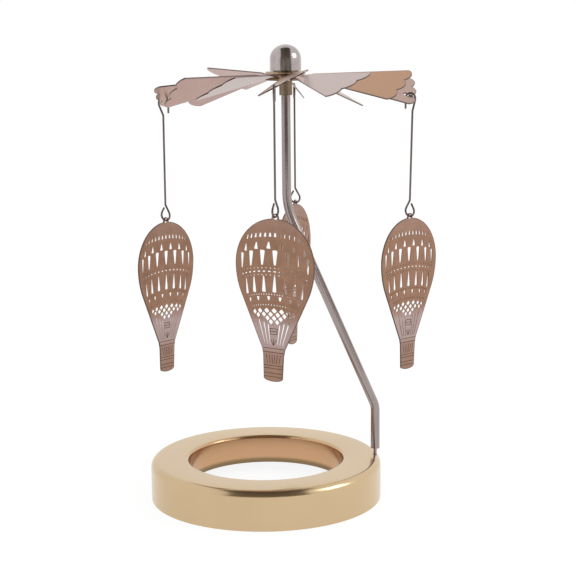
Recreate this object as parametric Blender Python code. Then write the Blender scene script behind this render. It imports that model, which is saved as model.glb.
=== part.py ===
"""Carousel tealight holder: a brass ring, a bent rod, a bladed rotor on a needle and four hanging balloons.

World frame: metres, +Z up. The origin is on the floor at the centre of the base ring, and +X points at
the foot of the rod. The rotor's axis is vertical and stands on +X, between the ring's centre and that foot.
"""

import math

import bmesh
import bpy
from mathutils import Matrix, Vector
from mathutils.geometry import delaunay_2d_cdt

MM = 0.001

# Gaps and cuts
CLEARANCE = 0.3 * MM
CUT_OVERRUN = 1 * MM
WELD_DISTANCE = 0.001 * MM

# Base ring: a hollow stamping, open below
RING_RADIUS = 40 * MM
RING_HEIGHT = 13.6 * MM
RING_WIDTH = 13.2 * MM
RING_SHEET = 0.8 * MM
RING_SHOULDER = 2.4 * MM
RING_LIP = 1.2 * MM
RING_FLANGE_DEPTH = 10.2 * MM
RING_SEGMENTS = 64

# Support rod and the saddle that holds its spigot inside the ring
ROD_RADIUS = 1.55 * MM
ROD_REACH = 30.2 * MM
LOWER_BEND_HEIGHT = 31 * MM
UPPER_BEND_HEIGHT = 101 * MM
LOWER_BEND_RADIUS = 8 * MM
UPPER_BEND_RADIUS = 24 * MM
ROD_CHAMFER = 0.2 * MM
SPIGOT_RADIUS = 0.6 * MM
SPIGOT_SHOW = 2 * MM
SPIGOT_DEPTH = 8 * MM
SPIGOT_PLAY = 0.2 * MM
SOCKET_DEPTH = 5 * MM
SOCKET_WIDTH = 8 * MM
SOCKET_HEIGHT = 6 * MM
NEEDLE_LENGTH = 6.6 * MM
NEEDLE_TIP_RADIUS = 0.15 * MM

# Hub: sheet, washer above it, bush below it, domed cap on the washer
SHEET_HEIGHT = 145.2 * MM
HUB_RADIUS = 7.2 * MM
HUB_SHEET = 0.6 * MM
COLLAR_RADIUS = 6.7 * MM
WASHER_THICKNESS = 0.8 * MM
BUSH_FLANGE = 0.9 * MM
BUSH_SHANK_HEIGHT = 4.6 * MM
BUSH_TUBE_WALL = 0.35 * MM
BUSH_TUBE_LENGTH = 4.9 * MM
ROD_PLAY = 0.3 * MM
DOME_RADIUS = 5.25 * MM
DOME_WALL = 0.8 * MM
DOME_HEIGHT = 8.7 * MM
DOME_CROWN_HEIGHT = 4.8 * MM
DOME_CROWN_WALL = 1.6 * MM
DIMPLE_RADIUS = 0.9 * MM
DIMPLE_DEPTH = 0.6 * MM
HUB_SEGMENTS = 32

# Rotor blades, each twisted and bent down by hand, so no two are quite alike
BLADE_COUNT = 12
BLADE_SHEET = 0.4 * MM
BLADE_REACH = 44.2 * MM
BLADE_TIP_WIDTH = 18.5 * MM
BLADE_NECK_WIDTH = 2 * MM
TWIST_LENGTH = 6 * MM
BLADE_ROOT_OVERLAP = 1.6 * MM
BLADE_PITCH = math.radians(28)
BLADE_DROOP = math.radians(10)
BLADE_SWAY = math.radians(3)
FIRST_BLADE_AZIMUTH = math.radians(-93)
SCALLOP_COUNT = 3
SCALLOP_STEPS = 6
SCALLOP_DEPTH = 1.6 * MM
BLADE_PITCH_SHARES = (0.95, 0.84, 1.05, 0.98, 1.0, 0.88, 1.79, 0.98, 0.85, 0.88, 1.22, 0.9)
BLADE_DROOP_SHARES = (0.13, 0.27, 0.42, 0.9, 0.8, 1.4, 0.48, 0.35, 1.3, 1.1, 0.73, 0.44)
BLADE_SWAY_SHARES = (-0.18, -0.6, 0.2, 0.3, 0.0, -0.23, -0.33, 0.3, -0.17, 0.0, 0.93, -0.23)

# Hanger wires, hung in the notch beside the low lobe of every third blade
BALLOON_COUNT = 4
WIRE_RADIUS = 0.35 * MM
HANG_INSET = 2 * MM
CROOK_RADIUS = 1.6 * MM
CROOK_TAIL = 3.7 * MM
CROOK_NECK = 3.6 * MM
CROOK_NECK_RADIUS = 1.4 * MM
LEG_OFFSET_SHARES = (0.2, 0.44, 0.2, 0.1)
LOOP_OFFSET_SHARES = (0.2, 0.0, 0.2, 0.1)
HOLE_RADIUS = 0.95 * MM
WIRE_DROP = 41.7 * MM
WIRE_DROP_SHARES = (0.978, 0.992, 1.04, 1.0)
LOOP_HEIGHT = 5.4 * MM
LOOP_RADIUS = 1.85 * MM
LOOP_APEX_RADIUS = 0.5 * MM
LOOP_GAP = 1.1 * MM
LOOP_STEPS = 12
BEND_STEP = math.radians(22)

# Balloon pendants: thin sheet, measured down from the balloon's crown
BALLOON_SHEET = 0.4 * MM
BALLOON_HALF_WIDTH = 14.1 * MM
BALLOON_CROWN = 14.6 * MM
BALLOON_LOWER_SEMI = 18.8 * MM
BASKET_TOP = 41.6 * MM
BALLOON_HEIGHT = 52.2 * MM
BASKET_TOP_HALF = 4.1 * MM
BASKET_RIM_HALF = 3.7 * MM
BASKET_RIM_DROP = 2 * MM
BASKET_FOOT_HALF = 3.4 * MM
BASKET_SAG = 1.1 * MM
EYELET_RADIUS = 1.2 * MM
EYELET_HOLE_RADIUS = 0.75 * MM
EYELET_DROP = 0.4 * MM
NECK_HALF = 1.3 * MM
ELLIPSE_STEPS = 9
EYELET_STEPS = 4
BALLOON_TURNS = (math.radians(-29.0), math.radians(45.0), math.radians(65.0), math.radians(53.0))
BALLOON_LEANS = (math.radians(1.5), math.radians(1.2), math.radians(3.6), math.radians(1.2))
VIEW_AZIMUTH = math.radians(-2.5)

# Rows of cut-outs on each balloon: how many, the angle between neighbours on the balloon's globe, the depths
# of a cut-out's top and foot below the crown, and its widths there
ARC_SAG_SHARE = 0.27
COLUMN_TAPER_SHARE = 0.4
BEAD_COUNT = 13
BEAD_STEP = math.radians(9.6)
BEAD_DEPTHS = (4.5 * MM, 5.8 * MM)
BEAD_WIDTHS = (0.7 * MM, 1.1 * MM)
SPIKE_COUNT = 6
SPIKE_STEP = math.radians(21)
SPIKE_DEPTHS = (7.4 * MM, 9.6 * MM)
SPIKE_WIDTHS = (0.6 * MM, 1.8 * MM)
UPPER_SLOT_COUNT = 7
UPPER_SLOT_STEP = math.radians(19.3)
UPPER_SLOT_DEPTHS = (10.0 * MM, 14.8 * MM)
UPPER_SLOT_WIDTHS = (2.1 * MM, 0.9 * MM)
LOWER_SLOT_COUNT = 7
LOWER_SLOT_STEP = math.radians(17.2)
LOWER_SLOT_DEPTHS = (18.2 * MM, 23.4 * MM)
LOWER_SLOT_WIDTHS = (0.6 * MM, 1.7 * MM)
STUD_COUNT = 6
STUD_STEP = math.radians(20.5)
STUD_DEPTHS = (24.7 * MM, 26.0 * MM)
STUD_WIDTHS = (1.3 * MM, 0.7 * MM)

# Net under the globe: staggered rows of diamond holes, each row shorter than the one above
NET_TOP = 29.3 * MM
NET_FOOT = 33.6 * MM
NET_ROW_STEP = 1.2 * MM
NET_ROW_COUNT = 4
NET_COLUMN_COUNT = 7
NET_STEP = math.radians(16)
NET_SLOPE_SHARE = 0.42
NET_HOLE_SHARE = 0.4

# Ropes: slots between them, from under the net down to the basket
ROPE_GAP = 1 * MM
ROPE_FOOT = 40.6 * MM
ROPE_SLOT_SHARES = (0.27, 0.46, 0.66)
ROPE_SLOT_TOP_WIDTH = 0.95 * MM
ROPE_SLOT_FOOT_WIDTH = 0.45 * MM

# Sizes that follow
RING_HOLE_RADIUS = RING_RADIUS - RING_WIDTH
HANG_REACH = BLADE_REACH - HANG_INSET
ROD_FOOT_X = RING_RADIUS - RING_SHEET - CLEARANCE - SPIGOT_RADIUS
AXIS_X = ROD_FOOT_X - ROD_REACH
SHANK_RADIUS = DOME_RADIUS - DOME_WALL - CLEARANCE
BUSH_BORE = ROD_RADIUS + ROD_PLAY
WASHER_FOOT = SHEET_HEIGHT + HUB_SHEET / 2 + CLEARANCE
DOME_FOOT = WASHER_FOOT + WASHER_THICKNESS + CLEARANCE
DOME_TOP = DOME_FOOT + DOME_HEIGHT
FLANGE_TOP = SHEET_HEIGHT - HUB_SHEET / 2 - CLEARANCE
DIMPLE_MOUTH = DOME_TOP - DOME_CROWN_WALL
NEEDLE_TOP = DIMPLE_MOUTH + DIMPLE_DEPTH - CLEARANCE


def clear_scene():
    """Removes whatever the file holds."""
    for old in list(bpy.data.objects):
        bpy.data.objects.remove(old, do_unlink=True)


def make_material(name, colour, roughness, metallic=1.0):
    """A plain Principled material in the colour of the real metal."""
    material = bpy.data.materials.new(name)
    material.use_nodes = True
    shader = material.node_tree.nodes["Principled BSDF"]
    shader.inputs["Base Color"].default_value = (*colour, 1.0)
    shader.inputs["Roughness"].default_value = roughness
    shader.inputs["Metallic"].default_value = metallic
    return material


def add_object(name, data, material, location=(0, 0, 0), rotation=(0, 0, 0)):
    """Links one named object with its own material."""
    data.materials.append(material)
    piece = bpy.data.objects.new(name, data)
    piece.location = location
    piece.rotation_euler = rotation
    bpy.context.scene.collection.objects.link(piece)
    return piece


def mesh_from(bm, name):
    """Finishes a bmesh: welds the poles, turns the faces outwards and shades it smooth."""
    bmesh.ops.remove_doubles(bm, verts=bm.verts, dist=WELD_DISTANCE)
    bmesh.ops.recalc_face_normals(bm, faces=bm.faces)
    mesh = bpy.data.meshes.new(name)
    bm.to_mesh(mesh)
    bm.free()
    mesh.shade_smooth()
    mesh.set_sharp_from_angle(angle=math.radians(30))
    return mesh


def lathe(name, profile, segments, closed):
    """Spins a profile of (radius, height) points about Z. An open profile starts and ends on the axis."""
    bm = bmesh.new()
    points = [bm.verts.new((radius, 0.0, height)) for radius, height in profile]
    pairs = list(zip(points, points[1:]))
    if closed:
        pairs.append((points[-1], points[0]))
    edges = [bm.edges.new(pair) for pair in pairs]
    bmesh.ops.spin(
        bm,
        geom=points + edges,
        cent=(0, 0, 0),
        axis=(0, 0, 1),
        dvec=(0, 0, 0),
        angle=math.tau,
        steps=segments,
        use_merge=True,
        use_duplicate=False,
    )
    return mesh_from(bm, name)


def arc(centre, radii, start, end, steps):
    """Points on an ellipse arc in the (radius, height) plane, both ends included."""
    angles = [start + (end - start) * step / steps for step in range(steps + 1)]
    return [(centre[0] + radii[0] * math.cos(a), centre[1] + radii[1] * math.sin(a)) for a in angles]


def cylinder_cutter(name, radius, low, high, location):
    """A hidden vertical cylinder from low to high, for Boolean cuts."""
    bm = bmesh.new()
    bmesh.ops.create_cone(
        bm, cap_ends=True, segments=16, radius1=radius, radius2=radius, depth=high - low
    )
    bmesh.ops.translate(bm, verts=bm.verts, vec=(0, 0, (low + high) / 2))
    return hide_helper(name, mesh_from(bm, name), location)


def hide_helper(name, mesh, location=(0, 0, 0), rotation=(0, 0, 0)):
    """Links a helper that cuts or joins, but isn't a piece."""
    helper = bpy.data.objects.new(name, mesh)
    helper.location = location
    helper.rotation_euler = rotation
    helper.hide_render = True
    helper.display_type = "WIRE"
    bpy.context.scene.collection.objects.link(helper)
    return helper


def add_boolean(piece, helper, operation):
    modifier = piece.modifiers.new(operation.title(), "BOOLEAN")
    modifier.operation = operation
    modifier.object = helper
    modifier.solver = "EXACT"


def rounded_path(corners, radii):
    """Points along straight runs whose inner corners are arcs of the given radii."""
    points = [corners[0]]
    for before, corner, after, radius in zip(corners, corners[1:], corners[2:], radii):
        inward = (before - corner).normalized()
        onward = (after - corner).normalized()
        turn = math.pi - inward.angle(onward)
        steps = max(1, math.ceil(turn / BEND_STEP))
        centre = corner + (inward + onward).normalized() * radius / math.cos(turn / 2)
        first = corner + inward * radius * math.tan(turn / 2) - centre
        axis = inward.cross(onward)
        for step in range(steps + 1):
            point = centre + Matrix.Rotation(-turn * step / steps, 3, axis) @ first
            if (point - points[-1]).length > WELD_DISTANCE:
                points.append(point)
    points.append(corners[-1])
    return points


def round_bar(name, points, radius, material, resolution, location=(0, 0, 0), azimuth=0.0):
    """A bar of round section along (point, share of the radius) pairs, as a curve with a bevel."""
    curve = bpy.data.curves.new(name, "CURVE")
    curve.dimensions = "3D"
    curve.bevel_depth = radius
    curve.bevel_resolution = resolution
    curve.use_fill_caps = True
    curve.twist_mode = "MINIMUM"
    spline = curve.splines.new("POLY")
    spline.points.add(len(points) - 1)
    for target, (point, share) in zip(spline.points, points):
        target.co = (*point, 1.0)
        target.radius = share
    spline.use_smooth = True
    return add_object(name, curve, material, location, (0, 0, azimuth))


def build_base_ring(material):
    """The hollow ring: outer wall, round shoulder, flat top, lip and inner flange, one sheet thick."""
    quarter = math.pi / 2
    shoulder = (RING_RADIUS - RING_SHOULDER, RING_HEIGHT - RING_SHOULDER)
    lip = (RING_HOLE_RADIUS + RING_LIP, RING_HEIGHT - RING_LIP)
    flange_foot = RING_HEIGHT - RING_FLANGE_DEPTH
    inner_shoulder = RING_SHOULDER - RING_SHEET
    inner_lip = RING_LIP - RING_SHEET
    profile = [(RING_RADIUS, 0.0)]
    profile += arc(shoulder, (RING_SHOULDER, RING_SHOULDER), 0.0, quarter, 4)
    profile += arc(lip, (RING_LIP, RING_LIP), quarter, math.pi, 3)
    profile += [(RING_HOLE_RADIUS, flange_foot), (RING_HOLE_RADIUS + RING_SHEET, flange_foot)]
    profile += arc(lip, (inner_lip, inner_lip), math.pi, quarter, 1)
    profile += arc(shoulder, (inner_shoulder, inner_shoulder), quarter, 0.0, 2)
    profile += [(RING_RADIUS - RING_SHEET, 0.0)]
    ring = add_object("base_ring", lathe("base_ring", profile, RING_SEGMENTS, True), material)
    hole = cylinder_cutter(
        "spigot_hole_cutter",
        SPIGOT_RADIUS + SPIGOT_PLAY,
        RING_HEIGHT - RING_SHOULDER,
        RING_HEIGHT + CUT_OVERRUN,
        (ROD_FOOT_X, 0, 0),
    )
    add_boolean(ring, hole, "DIFFERENCE")


def build_rod_socket(material):
    """A saddle inside the ring's wall, grooved for the spigot that it presses against the wall."""
    outer = RING_RADIUS - RING_SHEET - CLEARANCE
    inner = outer - SOCKET_DEPTH
    top = RING_HEIGHT - RING_SHOULDER
    foot = top - SOCKET_HEIGHT
    profile = [(outer, foot), (outer, top), (inner, top), (inner, foot)]
    socket = add_object("rod_socket", lathe("rod_socket", profile, RING_SEGMENTS, True), material)
    bm = bmesh.new()
    bmesh.ops.create_cube(bm, size=1.0)
    bmesh.ops.scale(bm, verts=bm.verts, vec=(RING_RADIUS, SOCKET_WIDTH, RING_HEIGHT * 2))
    block = hide_helper("socket_block", mesh_from(bm, "socket_block"), (RING_RADIUS, 0, 0))
    groove = cylinder_cutter(
        "groove_cutter",
        SPIGOT_RADIUS + SPIGOT_PLAY,
        foot - CUT_OVERRUN,
        top + CUT_OVERRUN,
        (ROD_FOOT_X, 0, 0),
    )
    add_boolean(socket, block, "INTERSECT")
    add_boolean(socket, groove, "DIFFERENCE")


def build_support_rod(material):
    """The bent rod: spigot, upright foot, slanted run, upright top and the needle point."""
    shoulder = RING_HEIGHT + SPIGOT_SHOW
    needle_foot = NEEDLE_TOP - NEEDLE_LENGTH
    spigot = SPIGOT_RADIUS / ROD_RADIUS
    tip = NEEDLE_TIP_RADIUS / ROD_RADIUS
    foot = Vector((ROD_FOOT_X, 0, shoulder + ROD_CHAMFER))
    corners = [
        foot,
        Vector((ROD_FOOT_X, 0, LOWER_BEND_HEIGHT)),
        Vector((AXIS_X, 0, UPPER_BEND_HEIGHT)),
        Vector((AXIS_X, 0, needle_foot)),
    ]
    bar = [(point, 1.0) for point in rounded_path(corners, [LOWER_BEND_RADIUS, UPPER_BEND_RADIUS])]
    below = [
        (Vector((ROD_FOOT_X, 0, RING_HEIGHT - SPIGOT_DEPTH)), spigot),
        (Vector((ROD_FOOT_X, 0, shoulder)), spigot),
    ]
    above = [(Vector((AXIS_X, 0, NEEDLE_TOP)), tip)]
    round_bar("support_rod", below + bar + above, ROD_RADIUS, material, 5)


def build_hub(steel, brass):
    """The pieces stacked on the axis with the rotor sheet: washer, bush and domed cap."""
    bore = SHANK_RADIUS + CLEARANCE
    washer = [
        (COLLAR_RADIUS, WASHER_FOOT),
        (COLLAR_RADIUS, WASHER_FOOT + WASHER_THICKNESS),
        (bore, WASHER_FOOT + WASHER_THICKNESS),
        (bore, WASHER_FOOT),
    ]
    add_object("hub_washer", lathe("hub_washer", washer, HUB_SEGMENTS, True), brass, (AXIS_X, 0, 0))
    flange_foot = FLANGE_TOP - BUSH_FLANGE
    tube_radius = BUSH_BORE + BUSH_TUBE_WALL
    shank_top = FLANGE_TOP + BUSH_SHANK_HEIGHT
    bush = [
        (BUSH_BORE, flange_foot - BUSH_TUBE_LENGTH),
        (tube_radius, flange_foot - BUSH_TUBE_LENGTH),
        (tube_radius, flange_foot),
        (COLLAR_RADIUS, flange_foot),
        (COLLAR_RADIUS, FLANGE_TOP),
        (SHANK_RADIUS, FLANGE_TOP),
        (SHANK_RADIUS, shank_top),
        (BUSH_BORE, shank_top),
    ]
    add_object("hub_bush", lathe("hub_bush", bush, HUB_SEGMENTS, True), brass, (AXIS_X, 0, 0))
    add_object("dome_cap", lathe("dome_cap", dome_profile(), HUB_SEGMENTS, False), steel, (AXIS_X, 0, 0))


def dome_profile():
    """The cap's outside from its crown down, and its inside up to the dimple that the needle carries."""
    quarter = math.pi / 2
    spring = DOME_TOP - DOME_CROWN_HEIGHT
    inner_radii = (DOME_RADIUS - DOME_WALL, DIMPLE_MOUTH - spring)
    dimple_angle = math.acos(DIMPLE_RADIUS / inner_radii[0])
    outside = arc((0.0, spring), (DOME_RADIUS, DOME_CROWN_HEIGHT), quarter, 0.0, 6)
    inside = arc((0.0, spring), inner_radii, 0.0, dimple_angle, 4)
    base = [(DOME_RADIUS, DOME_FOOT), (inner_radii[0], DOME_FOOT)]
    outside[0] = (0.0, DOME_TOP)
    return outside + base + inside + [(0.0, DIMPLE_MOUTH + DIMPLE_DEPTH)]


def blade_half_width(reach):
    """Half the blade's width at a distance from the axis: a narrow neck, then straight sides."""
    grown = max(0.0, reach - HUB_RADIUS) / (BLADE_REACH - HUB_RADIUS)
    return (BLADE_NECK_WIDTH + grown * (BLADE_TIP_WIDTH - BLADE_NECK_WIDTH)) / 2


def scalloped_reach(side):
    """The blade's scalloped end, as reach from the axis, at a side between -1 and 1 across the blade."""
    lobe_half = BLADE_TIP_WIDTH / 2 / SCALLOP_COUNT
    lobe_radius = (lobe_half**2 + SCALLOP_DEPTH**2) / 2 / SCALLOP_DEPTH
    across = (side + 1) * SCALLOP_COUNT * lobe_half
    lobe = min(math.floor(across / lobe_half / 2), SCALLOP_COUNT - 1)
    off_lobe = across - (2 * lobe + 1) * lobe_half
    rim = math.sqrt(BLADE_REACH**2 - (side * BLADE_TIP_WIDTH / 2) ** 2)
    return rim - lobe_radius + math.sqrt(lobe_radius**2 - off_lobe**2)


def blade_frame(reach, pitch, droop):
    """Centre, sideways direction and normal of the twisted and drooping blade at a reach."""
    run = max(0.0, reach - HUB_RADIUS)
    ramp = min(1.0, run / TWIST_LENGTH)
    twist = pitch * ramp * ramp * (3 - 2 * ramp)
    fall = droop if run else 0.0
    centre = Vector((min(reach, HUB_RADIUS) + run * math.cos(fall), 0, -run * math.sin(fall)))
    sideways = Vector((math.sin(twist) * math.sin(fall), math.cos(twist), math.sin(twist) * math.cos(fall)))
    normal = Vector((math.cos(twist) * math.sin(fall), -math.sin(twist), math.cos(twist) * math.cos(fall)))
    return centre, sideways, normal


def blade_rows():
    """The blade's flat pattern as rows of (reach, side): the neck's rows, then the scalloped end."""
    half_twist = HUB_RADIUS + TWIST_LENGTH / 2
    full_twist = HUB_RADIUS + TWIST_LENGTH
    reaches = (HUB_RADIUS - BLADE_ROOT_OVERLAP, HUB_RADIUS, half_twist, full_twist)
    rows = [[(reach, side) for side in (-1, 0, 1)] for reach in reaches]
    steps = SCALLOP_COUNT * SCALLOP_STEPS
    ends = [2 * step / steps - 1 for step in range(steps + 1)]
    return rows + [[(scalloped_reach(side), side) for side in ends]]


def add_blade(bm, pitch, droop, turn):
    """Adds one closed blade to the bmesh, turned to its place about the axis."""
    faces = []
    for offset in (BLADE_SHEET / 2, -BLADE_SHEET / 2):
        grid = []
        for row in blade_rows():
            line = []
            for reach, side in row:
                centre, sideways, normal = blade_frame(reach, pitch, droop)
                point = centre + sideways * side * blade_half_width(reach) + normal * offset
                line.append(bm.verts.new(turn @ point))
            grid.append(line)
        faces.append(grid)
        for near, far in zip(grid[:-1], grid[1:-1]):
            for j in range(len(near) - 1):
                bm.faces.new((near[j], far[j], far[j + 1], near[j + 1]))
        bm.faces.new(grid[-2][::-1] + grid[-1])
    upper, lower = [
        [row[0] for row in grid] + grid[-1][1:-1] + [row[-1] for row in grid[::-1]] + grid[0][1:-1][::-1]
        for grid in faces
    ]
    for i in range(len(upper)):
        bm.faces.new((upper[i - 1], upper[i], lower[i], lower[i - 1]))


def blade_azimuth(index):
    """The direction a blade points in, with its sway to one side."""
    sway = BLADE_SWAY * BLADE_SWAY_SHARES[index % len(BLADE_SWAY_SHARES)]
    return FIRST_BLADE_AZIMUTH + index * math.tau / BLADE_COUNT + sway


def hanger_place(index):
    """Azimuth and height of the sheet under a crook, at the notch beside the blade's low lobe."""
    blade = index * BLADE_COUNT // BALLOON_COUNT
    pitch, droop = blade_bend(blade)
    centre, sideways, normal = blade_frame(HANG_REACH, pitch, droop)
    notch_side = 2 / SCALLOP_COUNT - 1
    point = centre + sideways * notch_side * blade_half_width(BLADE_REACH)
    azimuth = blade_azimuth(blade) + math.atan2(point.y, point.x)
    half_sheet = BLADE_SHEET / 2 / normal.z
    return azimuth, point.xy.length, SHEET_HEIGHT + point.z + half_sheet


def wire_drop(index):
    """The height of one hanger, from the top of its crook down to the foot of its loop."""
    return WIRE_DROP * WIRE_DROP_SHARES[index % len(WIRE_DROP_SHARES)]


def leg_offsets(index):
    """How far the top and the foot of a wire's long leg hang outside the centre of its crook."""
    top_share = LEG_OFFSET_SHARES[index % len(LEG_OFFSET_SHARES)]
    foot_share = LOOP_OFFSET_SHARES[index % len(LOOP_OFFSET_SHARES)]
    return CROOK_RADIUS * top_share, CROOK_RADIUS * foot_share


def blade_bend(index):
    """The pitch and the droop of one blade."""
    pitch_share = BLADE_PITCH_SHARES[index % len(BLADE_PITCH_SHARES)]
    droop_share = BLADE_DROOP_SHARES[index % len(BLADE_DROOP_SHARES)]
    return BLADE_PITCH * pitch_share, BLADE_DROOP * droop_share


def build_rotor(material):
    """The sheet: a hub with twelve blades joined on, and a wire hole in every third blade."""
    bore = SHANK_RADIUS + CLEARANCE
    half = HUB_SHEET / 2
    hub = [(HUB_RADIUS, -half), (HUB_RADIUS, half), (bore, half), (bore, -half)]
    centre = (AXIS_X, 0, SHEET_HEIGHT)
    rotor = add_object("rotor", lathe("rotor", hub, HUB_SEGMENTS, True), material, centre)
    blades = bmesh.new()
    for index in range(BLADE_COUNT):
        pitch, droop = blade_bend(index)
        add_blade(blades, pitch, droop, Matrix.Rotation(blade_azimuth(index), 3, "Z"))
    add_boolean(rotor, hide_helper("blades", mesh_from(blades, "blades"), centre), "UNION")
    drills = bmesh.new()
    depth = BLADE_TIP_WIDTH + CUT_OVERRUN
    for index in range(BALLOON_COUNT):
        azimuth, reach, height = hanger_place(index)
        inset = math.sqrt(CROOK_RADIUS**2 - (CROOK_RADIUS - WIRE_RADIUS - CLEARANCE - BLADE_SHEET / 2) ** 2)
        place = Matrix.Rotation(azimuth, 4, "Z") @ Matrix.Translation((reach - inset, 0, height - SHEET_HEIGHT))
        bmesh.ops.create_cone(
            drills, cap_ends=True, segments=12, radius1=HOLE_RADIUS, radius2=HOLE_RADIUS, depth=depth / 2, matrix=place
        )
    add_boolean(rotor, hide_helper("wire_hole_cutter", mesh_from(drills, "wire_hole_cutter"), centre), "DIFFERENCE")


def hanger_path(drop, leg_top, leg_foot, loop_turn):
    """The wire, from its short tail up over the crook, down the long leg and round the open loop.

    The crook's bend has its centre at the origin, where the wire swings. X points away from the rotor's axis,
    and the long leg runs down from X = leg_top to X = leg_foot.
    """
    bend = CROOK_RADIUS
    loop_foot = bend - drop
    apex = Vector((leg_foot, 0, loop_foot + LOOP_HEIGHT))
    corners = [
        Vector((-bend, 0, -CROOK_TAIL)),
        Vector((-bend, 0, bend)),
        Vector((bend, 0, bend)),
        Vector((bend, 0, -CROOK_RADIUS / 2)),
        Vector((leg_top, 0, -CROOK_RADIUS / 2 - CROOK_NECK)),
        apex,
    ]
    radii = [bend, bend, CROOK_NECK_RADIUS, CROOK_NECK_RADIUS]
    centre = Vector((0, 0, loop_foot + LOOP_RADIUS))
    lean = math.asin(LOOP_RADIUS / (LOOP_HEIGHT - LOOP_RADIUS))
    start = math.pi - lean
    sweep = math.pi + 2 * lean
    round_part = []
    for step in range(LOOP_STEPS + 1):
        angle = start + sweep * step / LOOP_STEPS
        round_part.append(centre + LOOP_RADIUS * Vector((math.cos(angle), 0, math.sin(angle))))
    loop_apex = Vector((0, 0, loop_foot + LOOP_HEIGHT))
    end = loop_apex + (round_part[-1] - loop_apex).normalized() * LOOP_GAP
    turn = Matrix.Rotation(loop_turn, 3, "Z")
    loop = [turn @ point + Vector((leg_foot, 0, 0)) for point in round_part + [end]]
    leg = rounded_path(corners + [loop[0]], radii + [LOOP_APEX_RADIUS])
    return [(point, 1.0) for point in leg + loop[1:]]


def balloon_turn(index):
    """How far a balloon's sheet is turned about the vertical, from facing -Y."""
    return VIEW_AZIMUTH + BALLOON_TURNS[index % len(BALLOON_TURNS)]


def build_hangers(material):
    """Four wires, each with its origin at the centre of its crook and its loop square to its balloon."""
    for index in range(BALLOON_COUNT):
        azimuth, reach, sheet_top = hanger_place(index)
        crown = sheet_top + CLEARANCE + WIRE_RADIUS
        centre = Matrix.Rotation(azimuth, 3, "Z") @ Vector((reach, 0, 0)) + Vector((AXIS_X, 0, crown - CROOK_RADIUS))
        loop_turn = math.remainder(balloon_turn(index) + math.pi / 2 - azimuth, math.pi)
        path = hanger_path(wire_drop(index), *leg_offsets(index), loop_turn)
        round_bar(f"hanger_{index + 1}", path, WIRE_RADIUS, material, 1, centre, azimuth)


def balloon_tangent():
    """Where the straight ropes leave the balloon's lower ellipse, as an angle on that ellipse."""
    along = BASKET_TOP_HALF / BALLOON_HALF_WIDTH
    down = (BASKET_TOP - BALLOON_CROWN) / BALLOON_LOWER_SEMI
    return math.atan2(down, along) - math.acos(1 / math.hypot(along, down))


def balloon_half_width(depth):
    """Half the pendant's width at a depth below the balloon's crown, down to the basket."""
    if depth <= BALLOON_CROWN:
        return BALLOON_HALF_WIDTH * math.sqrt(1 - (1 - depth / BALLOON_CROWN) ** 2)
    angle = balloon_tangent()
    leave_depth = BALLOON_CROWN + BALLOON_LOWER_SEMI * math.sin(angle)
    if depth <= leave_depth:
        return BALLOON_HALF_WIDTH * math.sqrt(1 - ((depth - BALLOON_CROWN) / BALLOON_LOWER_SEMI) ** 2)
    leave_half = BALLOON_HALF_WIDTH * math.cos(angle)
    along = (depth - leave_depth) / (BASKET_TOP - leave_depth)
    return leave_half + along * (BASKET_TOP_HALF - leave_half)


def balloon_outline():
    """The sheet's outline about its eyelet's centre: the right side from top to foot, then mirrored back."""
    top_angle = math.pi / 2
    neck_angle = math.asin(NECK_HALF / BALLOON_HALF_WIDTH)
    eyelet = arc((0.0, 0.0), (EYELET_RADIUS, EYELET_RADIUS), top_angle, 0.0, EYELET_STEPS)
    widest = -(EYELET_DROP + BALLOON_CROWN)
    crown = arc((0.0, widest), (BALLOON_HALF_WIDTH, BALLOON_CROWN), top_angle - neck_angle, 0.0, ELLIPSE_STEPS)
    lower = arc((0.0, widest), (BALLOON_HALF_WIDTH, BALLOON_LOWER_SEMI), 0.0, -balloon_tangent(), ELLIPSE_STEPS // 2)
    foot = -(EYELET_DROP + BALLOON_HEIGHT)
    rim = -(EYELET_DROP + BASKET_TOP)
    basket = [(BASKET_TOP_HALF, rim), (BASKET_RIM_HALF, rim - BASKET_RIM_DROP), (BASKET_FOOT_HALF, foot + BASKET_SAG)]
    sag = arc((0.0, foot + BASKET_SAG), (BASKET_FOOT_HALF, BASKET_SAG), 0.0, -top_angle, 3)
    right = eyelet[1:] + crown + lower[1:] + basket + sag[1:-1]
    left = [(-x, y) for x, y in reversed(right)]
    return [(0.0, EYELET_RADIUS)] + right + [(0.0, foot)] + left


def globe_point(depth, angle):
    """A point of the flattened globe in the sheet's plane: a row at one depth sinks towards its ends."""
    sunk = depth + ARC_SAG_SHARE * balloon_half_width(depth) * (1 - math.cos(angle))
    return balloon_half_width(sunk) * math.sin(angle), -(EYELET_DROP + sunk)


def tapered_loop(top, foot, top_width, foot_width):
    """A cut-out with four corners, between the middles of its top and its foot."""
    return [
        (top[0] - top_width / 2, top[1]),
        (foot[0] - foot_width / 2, foot[1]),
        (foot[0] + foot_width / 2, foot[1]),
        (top[0] + top_width / 2, top[1]),
    ]


def row_cutouts(count, step, depths, widths):
    """One row of tapered cut-outs, spread and narrowed towards the sides as on a globe."""
    for index in range(count):
        angle = (index - (count - 1) / 2) * step
        ends = [globe_point(depth, angle) for depth in depths]
        middle = (ends[0][0] + ends[1][0]) / 2
        top, foot = [(middle + COLUMN_TAPER_SHARE * (across - middle), height) for across, height in ends]
        yield tapered_loop(top, foot, widths[0] * math.cos(angle), widths[1] * math.cos(angle))


def net_foot(across):
    """Depth of the net's lower edge, which rises to both sides."""
    return NET_FOOT - NET_SLOPE_SHARE * abs(across)


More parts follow.
